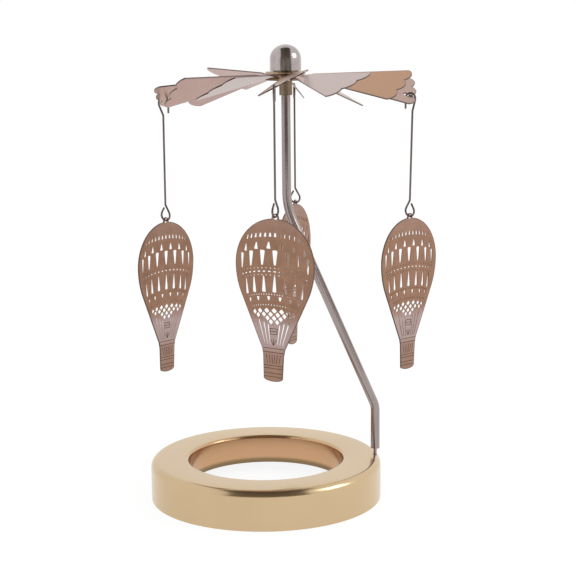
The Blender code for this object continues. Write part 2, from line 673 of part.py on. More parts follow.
def net_holes():
    """The net's diamond holes, as far down as its lower edge."""
    half_height = NET_HOLE_SHARE * 2 * NET_ROW_STEP
    for row in range(NET_ROW_COUNT):
        depth = NET_TOP + row * NET_ROW_STEP
        last = NET_COLUMN_COUNT - 1 - row
        for index in range(last + 1):
            angle = (index - last / 2) * NET_STEP
            across, height = globe_point(depth, angle)
            half_width = NET_HOLE_SHARE * balloon_half_width(depth) * math.sin(NET_STEP) * math.cos(angle)
            if height > -(EYELET_DROP + net_foot(across)):
                yield [
                    (across - half_width, height),
                    (across, height - half_height),
                    (across + half_width, height),
                    (across, height + half_height),
                ]


def rope_slots():
    """The slots between the ropes, which run together towards the basket."""
    for share in [side * share for side in (-1, 1) for share in ROPE_SLOT_SHARES]:
        top = net_foot(share * balloon_half_width(NET_FOOT)) + ROPE_GAP
        ends = [(share * balloon_half_width(depth), -(EYELET_DROP + depth)) for depth in (top, ROPE_FOOT)]
        yield tapered_loop(*ends, ROPE_SLOT_TOP_WIDTH, ROPE_SLOT_FOOT_WIDTH)


def balloon_loops():
    """The outline and every cut-out, each as a closed loop of points in the sheet's plane."""
    loops = [balloon_outline()]
    loops.append(arc((0.0, 0.0), (EYELET_HOLE_RADIUS, EYELET_HOLE_RADIUS), 0.0, math.tau, 10)[:-1])
    loops += row_cutouts(BEAD_COUNT, BEAD_STEP, BEAD_DEPTHS, BEAD_WIDTHS)
    loops += row_cutouts(SPIKE_COUNT, SPIKE_STEP, SPIKE_DEPTHS, SPIKE_WIDTHS)
    loops += row_cutouts(UPPER_SLOT_COUNT, UPPER_SLOT_STEP, UPPER_SLOT_DEPTHS, UPPER_SLOT_WIDTHS)
    loops += row_cutouts(LOWER_SLOT_COUNT, LOWER_SLOT_STEP, LOWER_SLOT_DEPTHS, LOWER_SLOT_WIDTHS)
    loops += row_cutouts(STUD_COUNT, STUD_STEP, STUD_DEPTHS, STUD_WIDTHS)
    loops += net_holes()
    loops += rope_slots()
    return loops


def lies_inside(point, loop):
    """Whether a point of the sheet's plane is inside a closed loop, by counting the sides above it."""
    crossings = 0
    for (x1, y1), (x2, y2) in zip(loop, loop[1:] + loop[:1]):
        if (x1 > point.x) != (x2 > point.x):
            crossings += y1 + (point.x - x1) / (x2 - x1) * (y2 - y1) > point.y
    return crossings % 2 == 1


def balloon_mesh():
    """Fills the outline around its cut-outs, then gives the sheet its thickness. X is across, Z is up."""
    points = []
    rims = []
    loops = balloon_loops()
    for loop in loops:
        start = len(points)
        points += [Vector(point) for point in loop]
        rims += [(start + i, start + (i + 1) % len(loop)) for i in range(len(loop))]
    # Output type 1 gives triangles that fill the outline, so those inside the cut-outs are left out here.
    flat = delaunay_2d_cdt(points, rims, [], 1, WELD_DISTANCE)
    bm = bmesh.new()
    front = [bm.verts.new((x, -BALLOON_SHEET / 2, y)) for x, y in flat[0]]
    faces = []
    for face in flat[2]:
        middle = sum((flat[0][i] for i in face), Vector((0, 0))) / len(face)
        if not any(lies_inside(middle, loop) for loop in loops[1:]):
            faces.append(bm.faces.new([front[i] for i in face]))
    grown = bmesh.ops.extrude_face_region(bm, geom=faces, use_keep_orig=True)
    moved = [item for item in grown["geom"] if isinstance(item, bmesh.types.BMVert)]
    bmesh.ops.translate(bm, verts=moved, vec=(0, BALLOON_SHEET, 0))
    return mesh_from(bm, "balloon")


def build_balloons(material):
    """Four pendants, each hung a little askew, with its origin at its eyelet's centre under the wire's long leg."""
    for index in range(BALLOON_COUNT):
        azimuth, reach, sheet_top = hanger_place(index)
        loop_foot = sheet_top + CLEARANCE + WIRE_RADIUS - wire_drop(index)
        seat = EYELET_HOLE_RADIUS - WIRE_RADIUS - CLEARANCE
        out = Matrix.Rotation(azimuth, 3, "Z") @ Vector((reach + leg_offsets(index)[1], 0, 0))
        place = out + Vector((AXIS_X, 0, loop_foot - seat))
        lean = BALLOON_LEANS[index % len(BALLOON_LEANS)]
        add_object(f"balloon_{index + 1}", balloon_mesh(), material, place, (0, lean, balloon_turn(index)))


def main():
    clear_scene()
    ring_brass = make_material("ring_brass", (0.72, 0.53, 0.27), 0.12)
    steel = make_material("rod_steel", (0.52, 0.49, 0.49), 0.25)
    chrome = make_material("dome_chrome", (0.62, 0.6, 0.58), 0.1)
    rotor_brass = make_material("rotor_brass", (0.72, 0.5, 0.4), 0.28)
    balloon_brass = make_material("balloon_brass", (0.52, 0.32, 0.21), 0.35)
    build_base_ring(ring_brass)
    build_rod_socket(steel)
    build_support_rod(steel)
    build_hub(chrome, rotor_brass)
    build_rotor(rotor_brass)
    build_hangers(steel)
    build_balloons(balloon_brass)


main()
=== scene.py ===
"""Dresses the carousel tealight holder: ring, bent rod, bladed rotor and four hanging balloon pendants.

World frame: metres, +Z up. The origin is on the floor at the ring's centre. +X points at the rod's foot.
"""

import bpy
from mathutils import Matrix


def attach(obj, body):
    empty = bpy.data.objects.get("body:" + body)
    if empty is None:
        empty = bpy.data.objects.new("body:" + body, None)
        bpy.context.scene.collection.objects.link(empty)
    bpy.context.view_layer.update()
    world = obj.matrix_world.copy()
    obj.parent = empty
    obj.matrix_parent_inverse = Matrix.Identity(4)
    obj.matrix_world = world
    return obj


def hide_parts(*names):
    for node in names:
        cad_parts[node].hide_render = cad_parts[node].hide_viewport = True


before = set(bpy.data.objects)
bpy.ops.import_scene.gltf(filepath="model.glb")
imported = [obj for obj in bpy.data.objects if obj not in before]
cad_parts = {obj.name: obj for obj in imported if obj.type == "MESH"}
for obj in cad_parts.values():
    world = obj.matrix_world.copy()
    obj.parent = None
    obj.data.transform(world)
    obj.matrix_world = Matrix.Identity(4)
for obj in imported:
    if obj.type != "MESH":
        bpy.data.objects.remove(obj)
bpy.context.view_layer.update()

from collections import namedtuple
import math

import bmesh
import bpy
import numpy as np
from mathutils import Matrix, Vector
from mathutils.geometry import delaunay_2d_cdt

bl_info = {
    "name": "Carousel tealight holder",
    "version": (1, 0, 0),
    "blender": (4, 5, 0),
    "location": "View3D > Sidebar > Carousel",
    "description": "Builds the dressed parts of a carousel tealight holder round its CAD frame",
    "category": "Object",
}

MM = 0.001
CLEARANCE = 0.3 * MM
WELD = 0.0005 * MM
OVERRUN = 1 * MM
QUARTER = math.pi / 2
ROUNDING = 1e-9
SHARP_ANGLE = math.radians(35)
DRILL_SIDES = 48

# Ring
RING_SHEET = 0.8 * MM
RING_SHOULDER = 2.4 * MM
RING_LIP = 1.2 * MM
RING_FLANGE_DEPTH = 10.2 * MM
# The inner wall's foot band also carries painted shade
RING_FOOT_BAND = 2.2 * MM
RING_TURNS = 288
RING_SHOULDER_STEPS = 16
RING_LIP_STEPS = 10
RING_INSIDE_LIP_STEPS = 4
RING_INSIDE_SHOULDER_STEPS = 8
# Painted warm reflection: where the inner wall's redder tint ramps in along the lip
INNER_REFLECTION_RAMP = (-0.5, 1.5)

# Rod
ROD_REACH = 30.2 * MM
LOWER_BEND_HEIGHT = 31 * MM
UPPER_BEND_HEIGHT = 101 * MM
LOWER_BEND_RADIUS = 8 * MM
UPPER_BEND_RADIUS = 24 * MM
ROD_CHAMFER = 0.2 * MM
SPIGOT_RADIUS = 0.6 * MM
SPIGOT_PLAY = 0.2 * MM
SPIGOT_SHOW = 2 * MM
SPIGOT_DEPTH = 8 * MM
NEEDLE_LENGTH = 6.6 * MM
NEEDLE_TIP_RADIUS = 0.15 * MM
TIP_STEP_SHARE = 0.02
ROD_SIDES = 40

# Hub
SHEET_HEIGHT = 145.2 * MM
HUB_RADIUS = 7.2 * MM
HUB_SHEET = 0.6 * MM
COLLAR_RADIUS = 6.7 * MM
COLLAR_EDGE = 0.15 * MM
WASHER_THICKNESS = 0.8 * MM
BUSH_FLANGE = 0.9 * MM
BUSH_SHANK_HEIGHT = 4.6 * MM
BUSH_TUBE_WALL = 0.35 * MM
BUSH_TUBE_LENGTH = 4.9 * MM
ROD_PLAY = 0.3 * MM
DOME_WALL = 0.8 * MM
DOME_HEIGHT = 8.7 * MM
DOME_CROWN_HEIGHT = 4.8 * MM
DOME_CROWN_WALL = 1.6 * MM
DIMPLE_RADIUS = 0.9 * MM
DIMPLE_DEPTH = 0.6 * MM
DOME_STEPS = 28
DOME_INSIDE_STEPS = 14
HUB_TURNS = 96

# Rotor blades
BLADE_COUNT = 12
BLADE_SHEET = 0.4 * MM
BLADE_TIP_WIDTH = 18.5 * MM
BLADE_NECK_WIDTH = 2 * MM
TWIST_LENGTH = 6 * MM
BLADE_ROOT_OVERLAP = 1.6 * MM
BLADE_PITCH = math.radians(28)
BLADE_DROOP = math.radians(10)
BLADE_SWAY = math.radians(3)
FIRST_BLADE_AZIMUTH = math.radians(-93)
SCALLOP_COUNT = 3
SCALLOP_STEPS = 14
SCALLOP_DEPTH = 1.6 * MM
TWIST_ROWS = 14
BLADE_ROWS = 14
BLADE_PITCH_SHARES = np.array((0.95, 0.84, 1.05, 0.98, 1.0, 0.88, 1.79, 0.98, 0.85, 0.88, 1.22, 0.9))
BLADE_DROOP_SHARES = np.array((0.13, 0.27, 0.42, 0.9, 0.8, 1.4, 0.48, 0.35, 1.3, 1.1, 0.73, 0.44))
BLADE_SWAY_SHARES = np.array((-0.18, -0.6, 0.2, 0.3, 0.0, -0.23, -0.33, 0.3, -0.17, 0.0, 0.93, -0.23))
# Painted reflection: each blade's share of a warm tan and of a grey tint, and the hub's warm share
BLADE_WARM_REFLECTION_SHARES = (0.6, 0.0, 1.0, 0.4, 0.5, 0.3, 0.2, 0.2, 0.0, 0.3, 0.1, 0.0)
BLADE_GREY_REFLECTION_SHARES = (0.0, 1.0, 0.0, 0.5, 0.3, 0.0, 0.0, 0.0, 0.0, 0.0, 0.0, 0.8)
HUB_WARM_REFLECTION_SHARE = 0.7
# Has to stay less than one step of the blade's grid across, or the blade folds over: 2 / its number of steps
EDGE_SHARE = 0.045
# The blades' and pendants' edge bands carry a painted dark reflection
EDGE_BAND = 0.35 * MM

# Hanger wires
BALLOON_COUNT = 4
HANG_INSET = 2 * MM
CROOK_RADIUS = 1.6 * MM
CROOK_TAIL = 3.7 * MM
CROOK_NECK = 3.6 * MM
CROOK_NECK_RADIUS = 1.4 * MM
LEG_OFFSET_SHARES = (0.2, 0.44, 0.2, 0.1)
LOOP_OFFSET_SHARES = (0.2, 0.0, 0.2, 0.1)
HOLE_RADIUS = 0.95 * MM
WIRE_DROP = 41.7 * MM
WIRE_DROP_SHARES = (0.978, 0.992, 1.04, 1.0)
LOOP_HEIGHT = 5.4 * MM
LOOP_RADIUS = 1.85 * MM
LOOP_APEX_RADIUS = 0.5 * MM
LOOP_GAP = 1.1 * MM
LOOP_STEPS = 40
BEND_STEP = math.radians(6)
WIRE_SIDES = 16
END_STEPS = 4

# Balloon pendants: points along the curves, then sizes, with places measured down from the balloon's crown
EYELET_STEPS = 14
EYELET_HOLE_STEPS = 28
CROWN_STEPS = 48
LOWER_STEPS = 24
BASKET_STEPS = 14
DOT_STEPS = 8
BALLOON_SHEET = 0.4 * MM
BALLOON_CROWN = 14.6 * MM
BALLOON_LOWER_SEMI = 18.8 * MM
BASKET_TOP = 41.6 * MM
BASKET_TOP_HALF = 4.1 * MM
BASKET_RIM_HALF = 3.7 * MM
BASKET_RIM_DROP = 2 * MM
BASKET_FOOT_HALF = 3.4 * MM
BASKET_SAG = 1.1 * MM
EYELET_RADIUS = 1.2 * MM
EYELET_HOLE_RADIUS = 0.75 * MM
EYELET_DROP = 0.4 * MM
NECK_HALF = 1.3 * MM
BALLOON_TURNS = np.radians((-29.0, 45.0, 65.0, 53.0))
BALLOON_LEANS = np.radians((1.5, 1.2, 3.6, 1.2))
VIEW_AZIMUTH = math.radians(-2.5)
ARC_SAG_SHARE = 0.27
COLUMN_TAPER_SHARE = 0.4
CORNER_SHARE = 0.18
CORNER_STEPS = 3
ROWS = (
    (13, math.radians(9.6), (4.5 * MM, 5.8 * MM), (0.7 * MM, 1.1 * MM)),
    (6, math.radians(21), (7.4 * MM, 9.6 * MM), (0.6 * MM, 1.8 * MM)),
    (7, math.radians(19.3), (10.0 * MM, 14.8 * MM), (2.1 * MM, 0.9 * MM)),
    (7, math.radians(17.2), (18.2 * MM, 23.4 * MM), (0.6 * MM, 1.7 * MM)),
    (6, math.radians(20.5), (24.7 * MM, 26.0 * MM), (1.3 * MM, 0.7 * MM)),
)
DOT_RADIUS = 0.27 * MM
DOT_ROWS = (
    (19, math.radians(6.4), 15.7 * MM),
    (19, math.radians(6.4), 17.9 * MM),
    (25, math.radians(4.6), 24.1 * MM),
    (19, math.radians(5.6), 27.5 * MM),
)
DASH_ROW = (15, math.radians(8), 16.8 * MM)
DASH_HALF = 0.55 * MM
DASH_HEIGHT = 0.2 * MM
NET_TOP = 29.3 * MM
NET_FOOT = 33.6 * MM
NET_ROW_STEP = 1.2 * MM
NET_ROW_COUNT = 4
NET_COLUMN_COUNT = 7
NET_STEP = math.radians(16)
NET_SLOPE_SHARE = 0.42
NET_HOLE_SHARE = 0.4
ROPE_GAP = 1 * MM
ROPE_FOOT = 40.6 * MM
ROPE_SLOT_SHARES = (0.27, 0.46, 0.66)
ROPE_SLOT_TOP_WIDTH = 0.55 * MM
ROPE_SLOT_FOOT_WIDTH = 0.3 * MM

# How pale the sheet is along its height, as (share of the height, paleness)
PALE_STOPS = ((0.0, 0.25), (0.14, 0.0), (0.58, 0.0), (0.66, 1.0), (0.79, 0.9), (0.82, 0.35), (1.0, 0.1))

# Etched lines on the pendants' front: each runs from (across, depth) to (across, depth), in millimetres
ETCH_WIDTH = 0.22 * MM
ETCH_PROUD = 0.02 * MM
ETCH_LINES = (
    (-3.8, 41.4, 3.8, 41.4), (-3.6, 42.7, 3.6, 42.7), (-3.3, 47.0, 3.3, 47.0), (-3.3, 47.9, 3.3, 47.9),
    (-3.2, 49.5, 3.2, 49.5), (-3.2, 50.6, 3.2, 50.6), (-2.6, 43.4, -2.0, 46.4), (-1.5, 43.4, -1.1, 46.4),
    (-0.5, 43.4, -0.3, 46.4), (0.5, 43.4, 0.3, 46.4), (1.5, 43.4, 1.1, 46.4), (2.6, 43.4, 2.0, 46.4),
    (-1.3, 35.0, 1.3, 35.0), (-1.3, 35.9, 1.3, 35.9), (-1.2, 36.8, 1.2, 36.8), (-1.3, 35.0, -1.2, 36.8),
    (1.3, 35.0, 1.2, 36.8), (-1.0, 38.5, 0.0, 40.4), (1.0, 38.5, 0.0, 40.4), (0.0, 38.3, 0.0, 40.4),
)

# Metals: shares of the colour in the light and dark patches, roughness and how far the grain spreads it,
# scales of patches and grain, strength of the grain's bump, and how the grain is stretched along X, Y and Z
METAL_VALUES = "light dark roughness spread patch grain bump stretch"
Metal = namedtuple("Metal", METAL_VALUES, defaults=[(1.0, 1.0, 1.0)])
METALS = {
    "ring_brass": Metal(1.0, 0.93, 0.2, 0.05, 22.0, 900.0, 0.012, (1.0, 1.0, 14.0)),
    # Painted shade: the faces inside the hollow ring are dark, dull brass
    "ring_hollow_shade": Metal(1.0, 0.7, 0.6, 0.1, 60.0, 900.0, 0.1),
    "rod_steel": Metal(1.0, 0.88, 0.2, 0.05, 60.0, 1500.0, 0.02, (6.0, 6.0, 1.0)),
    "collar_brass": Metal(1.0, 0.75, 0.3, 0.08, 300.0, 2500.0, 0.05),
    # Painted shade: the bush under the rotor is a darker copy of the collar's brass
    "tube_shaded_brass": Metal(0.5, 0.38, 0.3, 0.08, 300.0, 2500.0, 0.05),
    "cap_chrome": Metal(1.0, 0.8, 0.18, 0.05, 400.0, 2000.0, 0.02),
    "rotor_brass": Metal(1.0, 0.9, 0.3, 0.06, 70.0, 1400.0, 0.05, (1.0, 1.0, 4.0)),
    "wire_steel": Metal(1.0, 0.8, 0.25, 0.06, 120.0, 3000.0, 0.03),
    "pendant_brass": Metal(1.0, 0.82, 0.36, 0.08, 260.0, 1800.0, 0.12),
    "etched_brass": Metal(0.45, 0.35, 0.5, 0.08, 260.0, 1800.0, 0.1),
}
PATCH_DETAIL = 3.0
PATCH_STOPS = (0.32, 0.68)
GRAIN_DETAIL = 5.0
BUMP_DEPTH = 0.1 * MM

# Stage
STAGE_MIDDLE = (0.0, 0.0, 80 * MM)
ARCH_ROWS = 49
ARCH_COLUMNS = 13
ARCH_COLOUR = (0.42, 0.36, 0.3)
ARCH_ROUGHNESS = 0.9
ARCH_RADIUS = 1.8
ARCH_SWEEP = math.radians(106)
ARCH_FRONT_HALF = math.radians(42)
ARCH_BACK_HALF = math.radians(20)
FLOOR_MATT_SHARE = 0.16
FLOOR_GLOW = 0.9
KEY_PLACE = (0.8, -0.25, 0.5)
KEY_SIZE = 0.45

# Camera, fitted to the photograph: turned from the object's own axes
VIEW_TURN = math.radians(2.46)
CAMERA_PLACE = (8.25 * MM, -499.14 * MM, 162.27 * MM)
CAMERA_PITCH = math.radians(10.12)
CAMERA_ROLL = math.radians(-0.53)
FOCAL_SHARE = 1480.25 / 576
SENSOR_WIDTH = 36.0
CLIP_START = 0.01


# Meshes

def grid_quads(rows, columns, wrap_rows=False, wrap_columns=False):
    """Corner numbers of the quads between the points of a grid, numbered row by row."""
    last_row, last_column = rows - (not wrap_rows), columns - (not wrap_columns)
    i, j = np.meshgrid(np.arange(last_row), np.arange(last_column), indexing="ij")
    ahead = (i + 1) % rows
    beside = (j + 1) % columns
    row, next_row = i * columns, ahead * columns
    return np.stack([row + j, row + beside, next_row + beside, next_row + j], -1).reshape(-1, 4)


def weld(mesh):
    """Merges doubles, so that seams and poles are closed, and turns the faces outwards."""
    bm = bmesh.new()
    bm.from_mesh(mesh)
    bmesh.ops.remove_doubles(bm, verts=bm.verts, dist=WELD)
    bmesh.ops.dissolve_degenerate(bm, edges=bm.edges, dist=WELD)
    bmesh.ops.recalc_face_normals(bm, faces=bm.faces)
    bm.to_mesh(mesh)
    bm.free()
    mesh.shade_smooth()
    mesh.set_sharp_from_angle(angle=SHARP_ANGLE)


def mark(mesh, marks):
    """Stores named values between 0 and 1 at the mesh's points, for its material to read."""
    for name, values in marks.items():
        values = np.broadcast_to(np.asarray(values, dtype=np.float32), len(mesh.vertices))
        mesh.attributes.new(name, "FLOAT", "POINT").data.foreach_set("value", np.ascontiguousarray(values))


def mark_within(mesh, centre, radius, marks):
    """Sets marks at the points that lie within a radius of a vertical axis."""
    places = np.empty(len(mesh.vertices) * 3, dtype=np.float32)
    mesh.vertices.foreach_get("co", places)
    offset = places.reshape(-1, 3) - centre
    near = np.hypot(offset[:, 0], offset[:, 1]) <= radius
    for name, value in marks.items():
        values = np.empty(len(near), dtype=np.float32)
        mesh.attributes[name].data.foreach_get("value", values)
        mesh.attributes[name].data.foreach_set("value", np.where(near, np.float32(value), values))


def new_piece(name, points, faces, materials, marks=None):
    """One mesh object from arrays of points and faces, with its marks."""
    mesh = bpy.data.meshes.new(name)
    mesh.from_pydata(np.asarray(points).tolist(), [], [list(face) for face in faces])
    mark(mesh, marks or {})
    weld(mesh)
    for material in materials:
        mesh.materials.append(material)
    piece = bpy.data.objects.new(name, mesh)
    bpy.context.scene.collection.objects.link(piece)
    return piece


def carve(piece, helper, operation):
    """Cuts with a helper or joins it, keeps the result as the piece's own mesh and drops the helper."""
    modifier = piece.modifiers.new(operation.title(), "BOOLEAN")
    modifier.operation = operation
    modifier.object = helper
    modifier.solver = "EXACT"
    bpy.context.view_layer.update()
    solid = bpy.data.meshes.new_from_object(piece.evaluated_get(bpy.context.evaluated_depsgraph_get()))
    piece.modifiers.remove(modifier)
    old = piece.data
    piece.data = solid
    solid.name = piece.name
    bpy.data.meshes.remove(old)
    bpy.data.objects.remove(helper, do_unlink=True)
    solid.shade_smooth()
    solid.set_sharp_from_angle(angle=SHARP_ANGLE)


def finish_piece(piece, body, slot, *nodes):
    """Says which body a piece rides on and which CAD nodes it stands for. The slot argument is not used."""
    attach(piece, body)
    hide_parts(*nodes)


def arc(centre, radii, start, end, steps):
    """Points on an ellipse arc: centre plus radii times cosine and sine of an angle that runs evenly."""
    angle = np.linspace(start, end, steps + 1)
    return np.stack([centre[0] + radii[0] * np.cos(angle), centre[1] + radii[1] * np.sin(angle)], -1)


def revolve(profile, turns, axis_x=0.0):
    """A profile of (radius, height) about a vertical axis: x and y are the radius times cosine and sine."""
    angle = np.arange(turns) * math.tau / turns
    radius, height = np.asarray(profile).T
    x = axis_x + np.outer(np.cos(angle), radius)
    y = np.outer(np.sin(angle), radius)
    z = np.broadcast_to(height, x.shape)
    return np.stack([x, y, z], -1).reshape(-1, 3)


def turned_piece(name, profile, turns, axis_x, closed, materials, marks=None):
    """A turned piece. A profile that isn't closed starts and ends on the axis. Marks follow the profile."""
    faces = grid_quads(turns, len(profile), wrap_rows=True, wrap_columns=closed)
    marks = {key: np.tile(values, turns) for key, values in (marks or {}).items()}
    return new_piece(name, revolve(profile, turns, axis_x), faces, materials, marks)


def upright_cylinder(name, centre, radius, low, high):
    """A closed vertical cylinder, as a helper to cut with."""
    profile = [(0.0, low), (radius, low), (radius, high), (0.0, high)]
    points = revolve(profile, DRILL_SIDES) + np.array([centre[0], centre[1], 0.0])
    return new_piece(name, points, grid_quads(DRILL_SIDES, len(profile), wrap_rows=True), [])


def rounded_path(corners, radii):
    """Points along straight runs joined by arcs that touch both runs, a point for every step of bend."""
    corners = [Vector(corner) for corner in corners]
    points = [corners[0]]
    for before, corner, after, radius in zip(corners, corners[1:], corners[2:], radii):
        inward = (before - corner).normalized()
        onward = (after - corner).normalized()
        turn = math.pi - inward.angle(onward)
        steps = max(1, math.ceil(turn / BEND_STEP))
        centre = corner + (inward + onward).normalized() * radius / math.cos(turn / 2)
        first = corner + inward * radius * math.tan(turn / 2) - centre
        axis = inward.cross(onward)
        for step in range(steps + 1):
            point = centre + Matrix.Rotation(-turn * step / steps, 3, axis) @ first
            if (point - points[-1]).length > WELD * 10:
                points.append(point)
    points.append(corners[-1])
    return np.array([tuple(point) for point in points])


def path_frames(path):
    """Two directions square to the path at each point, carried along it without twist."""
    ahead = np.gradient(path, axis=0)
    ahead /= np.linalg.norm(ahead, axis=1, keepdims=True)
    side = np.cross(ahead[0], (0.0, 1.0, 0.0) if abs(ahead[0][1]) < 0.9 else (1.0, 0.0, 0.0))
    sides = []
    for direction in ahead:
        side = side - direction * np.dot(side, direction)
        side = side / np.linalg.norm(side)
        sides.append(side)
    sides = np.array(sides)
    return sides, np.cross(ahead, sides)


def tube(path, radii, sides):
    """A round bar: each path point plus its radius times cosine and sine across the path."""
    first, second = path_frames(path)
    angle = np.arange(sides) * math.tau / sides
    ring = np.cos(angle)[None, :, None] * first[:, None] + np.sin(angle)[None, :, None] * second[:, None]
    points = path[:, None] + np.asarray(radii)[:, None, None] * ring
    return points.reshape(-1, 3), grid_quads(len(path), sides, wrap_columns=True)


def round_ends(path, radius):
    """Adds domed ends to a wire's path: the radius follows a quarter circle down to the tip."""
    angle = np.linspace(0, QUARTER, END_STEPS + 1)[1:]
    head = (path[0] - path[1]) / np.linalg.norm(path[0] - path[1])
    tail = (path[-1] - path[-2]) / np.linalg.norm(path[-1] - path[-2])
    rise = radius * np.sin(angle)[:, None]
    taper = np.maximum(radius * np.cos(angle), 0.0)
    start = path[0] - head * radius
    end = path[-1] - tail * radius
    longer = np.concatenate([(start + head * rise)[::-1], [start], path[1:-1], [end], end + tail * rise])
    radii = np.concatenate([taper[::-1], np.full(len(path), radius), taper])
    return longer, radii


# Materials

def link(material, source, target):
    material.node_tree.links.new(source, target)


def mottled_metal(name, colour):
    """A metal whose colour drifts between two tones in soft patches and whose grain roughens the gloss."""
    metal = METALS[name]
    material = bpy.data.materials.new(name)
    material.use_nodes = True
    nodes = material.node_tree.nodes
    shader = nodes["Principled BSDF"]
    shader.inputs["Metallic"].default_value = 1.0
    place = nodes.new("ShaderNodeTexCoord")
    turn = nodes.new("ShaderNodeMapping")
    turn.inputs["Scale"].default_value = metal.stretch
    link(material, place.outputs["Object"], turn.inputs["Vector"])
    patches = nodes.new("ShaderNodeTexNoise")
    patches.inputs["Scale"].default_value = metal.patch
    patches.inputs["Detail"].default_value = PATCH_DETAIL
    link(material, place.outputs["Object"], patches.inputs["Vector"])
    fine = nodes.new("ShaderNodeTexNoise")
    fine.inputs["Scale"].default_value = metal.grain
    fine.inputs["Detail"].default_value = GRAIN_DETAIL
    link(material, turn.outputs["Vector"], fine.inputs["Vector"])
    ramp = nodes.new("ShaderNodeValToRGB")
    for element, place, share in zip(ramp.color_ramp.elements, PATCH_STOPS, (metal.dark, metal.light)):
        element.position = place
        element.color = (*darker(colour, share), 1.0)
    link(material, patches.outputs["Fac"], ramp.inputs["Fac"])
    link(material, ramp.outputs["Color"], shader.inputs["Base Color"])
    gloss = nodes.new("ShaderNodeMapRange")
    gloss.inputs["To Min"].default_value = metal.roughness - metal.spread
    gloss.inputs["To Max"].default_value = metal.roughness + metal.spread
    link(material, fine.outputs["Fac"], gloss.inputs["Value"])
    link(material, gloss.outputs["Result"], shader.inputs["Roughness"])
    relief = nodes.new("ShaderNodeBump")
    relief.inputs["Strength"].default_value = metal.bump
    relief.inputs["Distance"].default_value = BUMP_DEPTH
    link(material, fine.outputs["Fac"], relief.inputs["Height"])
    link(material, relief.outputs["Normal"], shader.inputs["Normal"])
    return material


def tint(material, mark_name, colour, stops=None):
    """Draws a metal's colour towards another where a mark is high, or where a ramp of stops on it is."""
    nodes = material.node_tree.nodes
    shader = nodes["Principled BSDF"]
    source = shader.inputs["Base Color"].links[0].from_socket
    value = nodes.new("ShaderNodeAttribute")
    value.attribute_name = mark_name
    factor = value.outputs["Fac"]
    if stops:
        ramp = nodes.new("ShaderNodeValToRGB")
        for number, (place, height) in enumerate(stops):
            elements = ramp.color_ramp.elements
            element = elements[number] if number < len(elements) else elements.new(place)
            element.position = place
            element.color = (height, height, height, 1.0)
        link(material, factor, ramp.inputs["Fac"])
        factor = ramp.outputs["Color"]
    mix = nodes.new("ShaderNodeMix")
    mix.data_type = "RGBA"
    first, second = [socket for socket in mix.inputs if socket.type == "RGBA"]
    result = [socket for socket in mix.outputs if socket.type == "RGBA"][0]
    second.default_value = (*colour, 1.0)
    link(material, factor, mix.inputs["Factor"])
    link(material, source, first)
    link(material, result, shader.inputs["Base Color"])


def darker(colour, share):
    return tuple(channel * share for channel in colour)


# The rotor's formulas

def blade_half_width(reach, settings):
    """Half the blade's width: the neck's, growing evenly past the hub to the tip's."""
    grown = np.maximum(0.0, reach - HUB_RADIUS) / (settings.reach - HUB_RADIUS)
    return (BLADE_NECK_WIDTH + grown * (BLADE_TIP_WIDTH - BLADE_NECK_WIDTH)) / 2


def scalloped_reach(side, settings):
    """Reach of the blade's end across its width: a circle about the axis less the gap under each lobe."""
    lobe_half = BLADE_TIP_WIDTH / 2 / SCALLOP_COUNT
    lobe_radius = (lobe_half**2 + SCALLOP_DEPTH**2) / 2 / SCALLOP_DEPTH
    across = (side + 1) * SCALLOP_COUNT * lobe_half
    lobe = np.minimum(np.floor(across / lobe_half / 2 + ROUNDING), SCALLOP_COUNT - 1)
    off_lobe = across - (2 * lobe + 1) * lobe_half
    rim = np.sqrt(settings.reach**2 - (side * BLADE_TIP_WIDTH / 2) ** 2)
    return rim - lobe_radius + np.sqrt(lobe_radius**2 - off_lobe**2)


def blade_points(reach, side, offset, pitch, droop, settings):
    """Points of one blade: along its drooping centre line, sideways by the twist, off along its normal.

    The twist grows from none at the hub to the full pitch by a smooth step over the neck.
    """
    run = np.maximum(0.0, reach - HUB_RADIUS)
    ramp = np.minimum(1.0, run / TWIST_LENGTH)
    twist = pitch * ramp * ramp * (3 - 2 * ramp)
    fall = np.where(run > 0, droop, 0.0)
    flat = np.zeros_like(run)
    out = np.minimum(reach, HUB_RADIUS)
    centre = np.stack([out + run * np.cos(fall), flat, -run * np.sin(fall)], -1)
    sideways = np.stack([np.sin(twist) * np.sin(fall), np.cos(twist), np.sin(twist) * np.cos(fall)], -1)
    normal = np.stack([np.cos(twist) * np.sin(fall), -np.sin(twist), np.cos(twist) * np.cos(fall)], -1)
    return centre + sideways * (side * blade_half_width(reach, settings))[..., None] + normal * offset


def blade_bend(blade):
    return BLADE_PITCH * BLADE_PITCH_SHARES[blade], BLADE_DROOP * BLADE_DROOP_SHARES[blade]


def blade_azimuth(blade):
    return FIRST_BLADE_AZIMUTH + blade * math.tau / BLADE_COUNT + BLADE_SWAY * BLADE_SWAY_SHARES[blade]


def turned(points, azimuth):
    """Points turned about the vertical axis."""
    cosine, sine = math.cos(azimuth), math.sin(azimuth)
    x, y, z = np.moveaxis(points, -1, 0)
    return np.stack([x * cosine - y * sine, x * sine + y * cosine, z], -1)


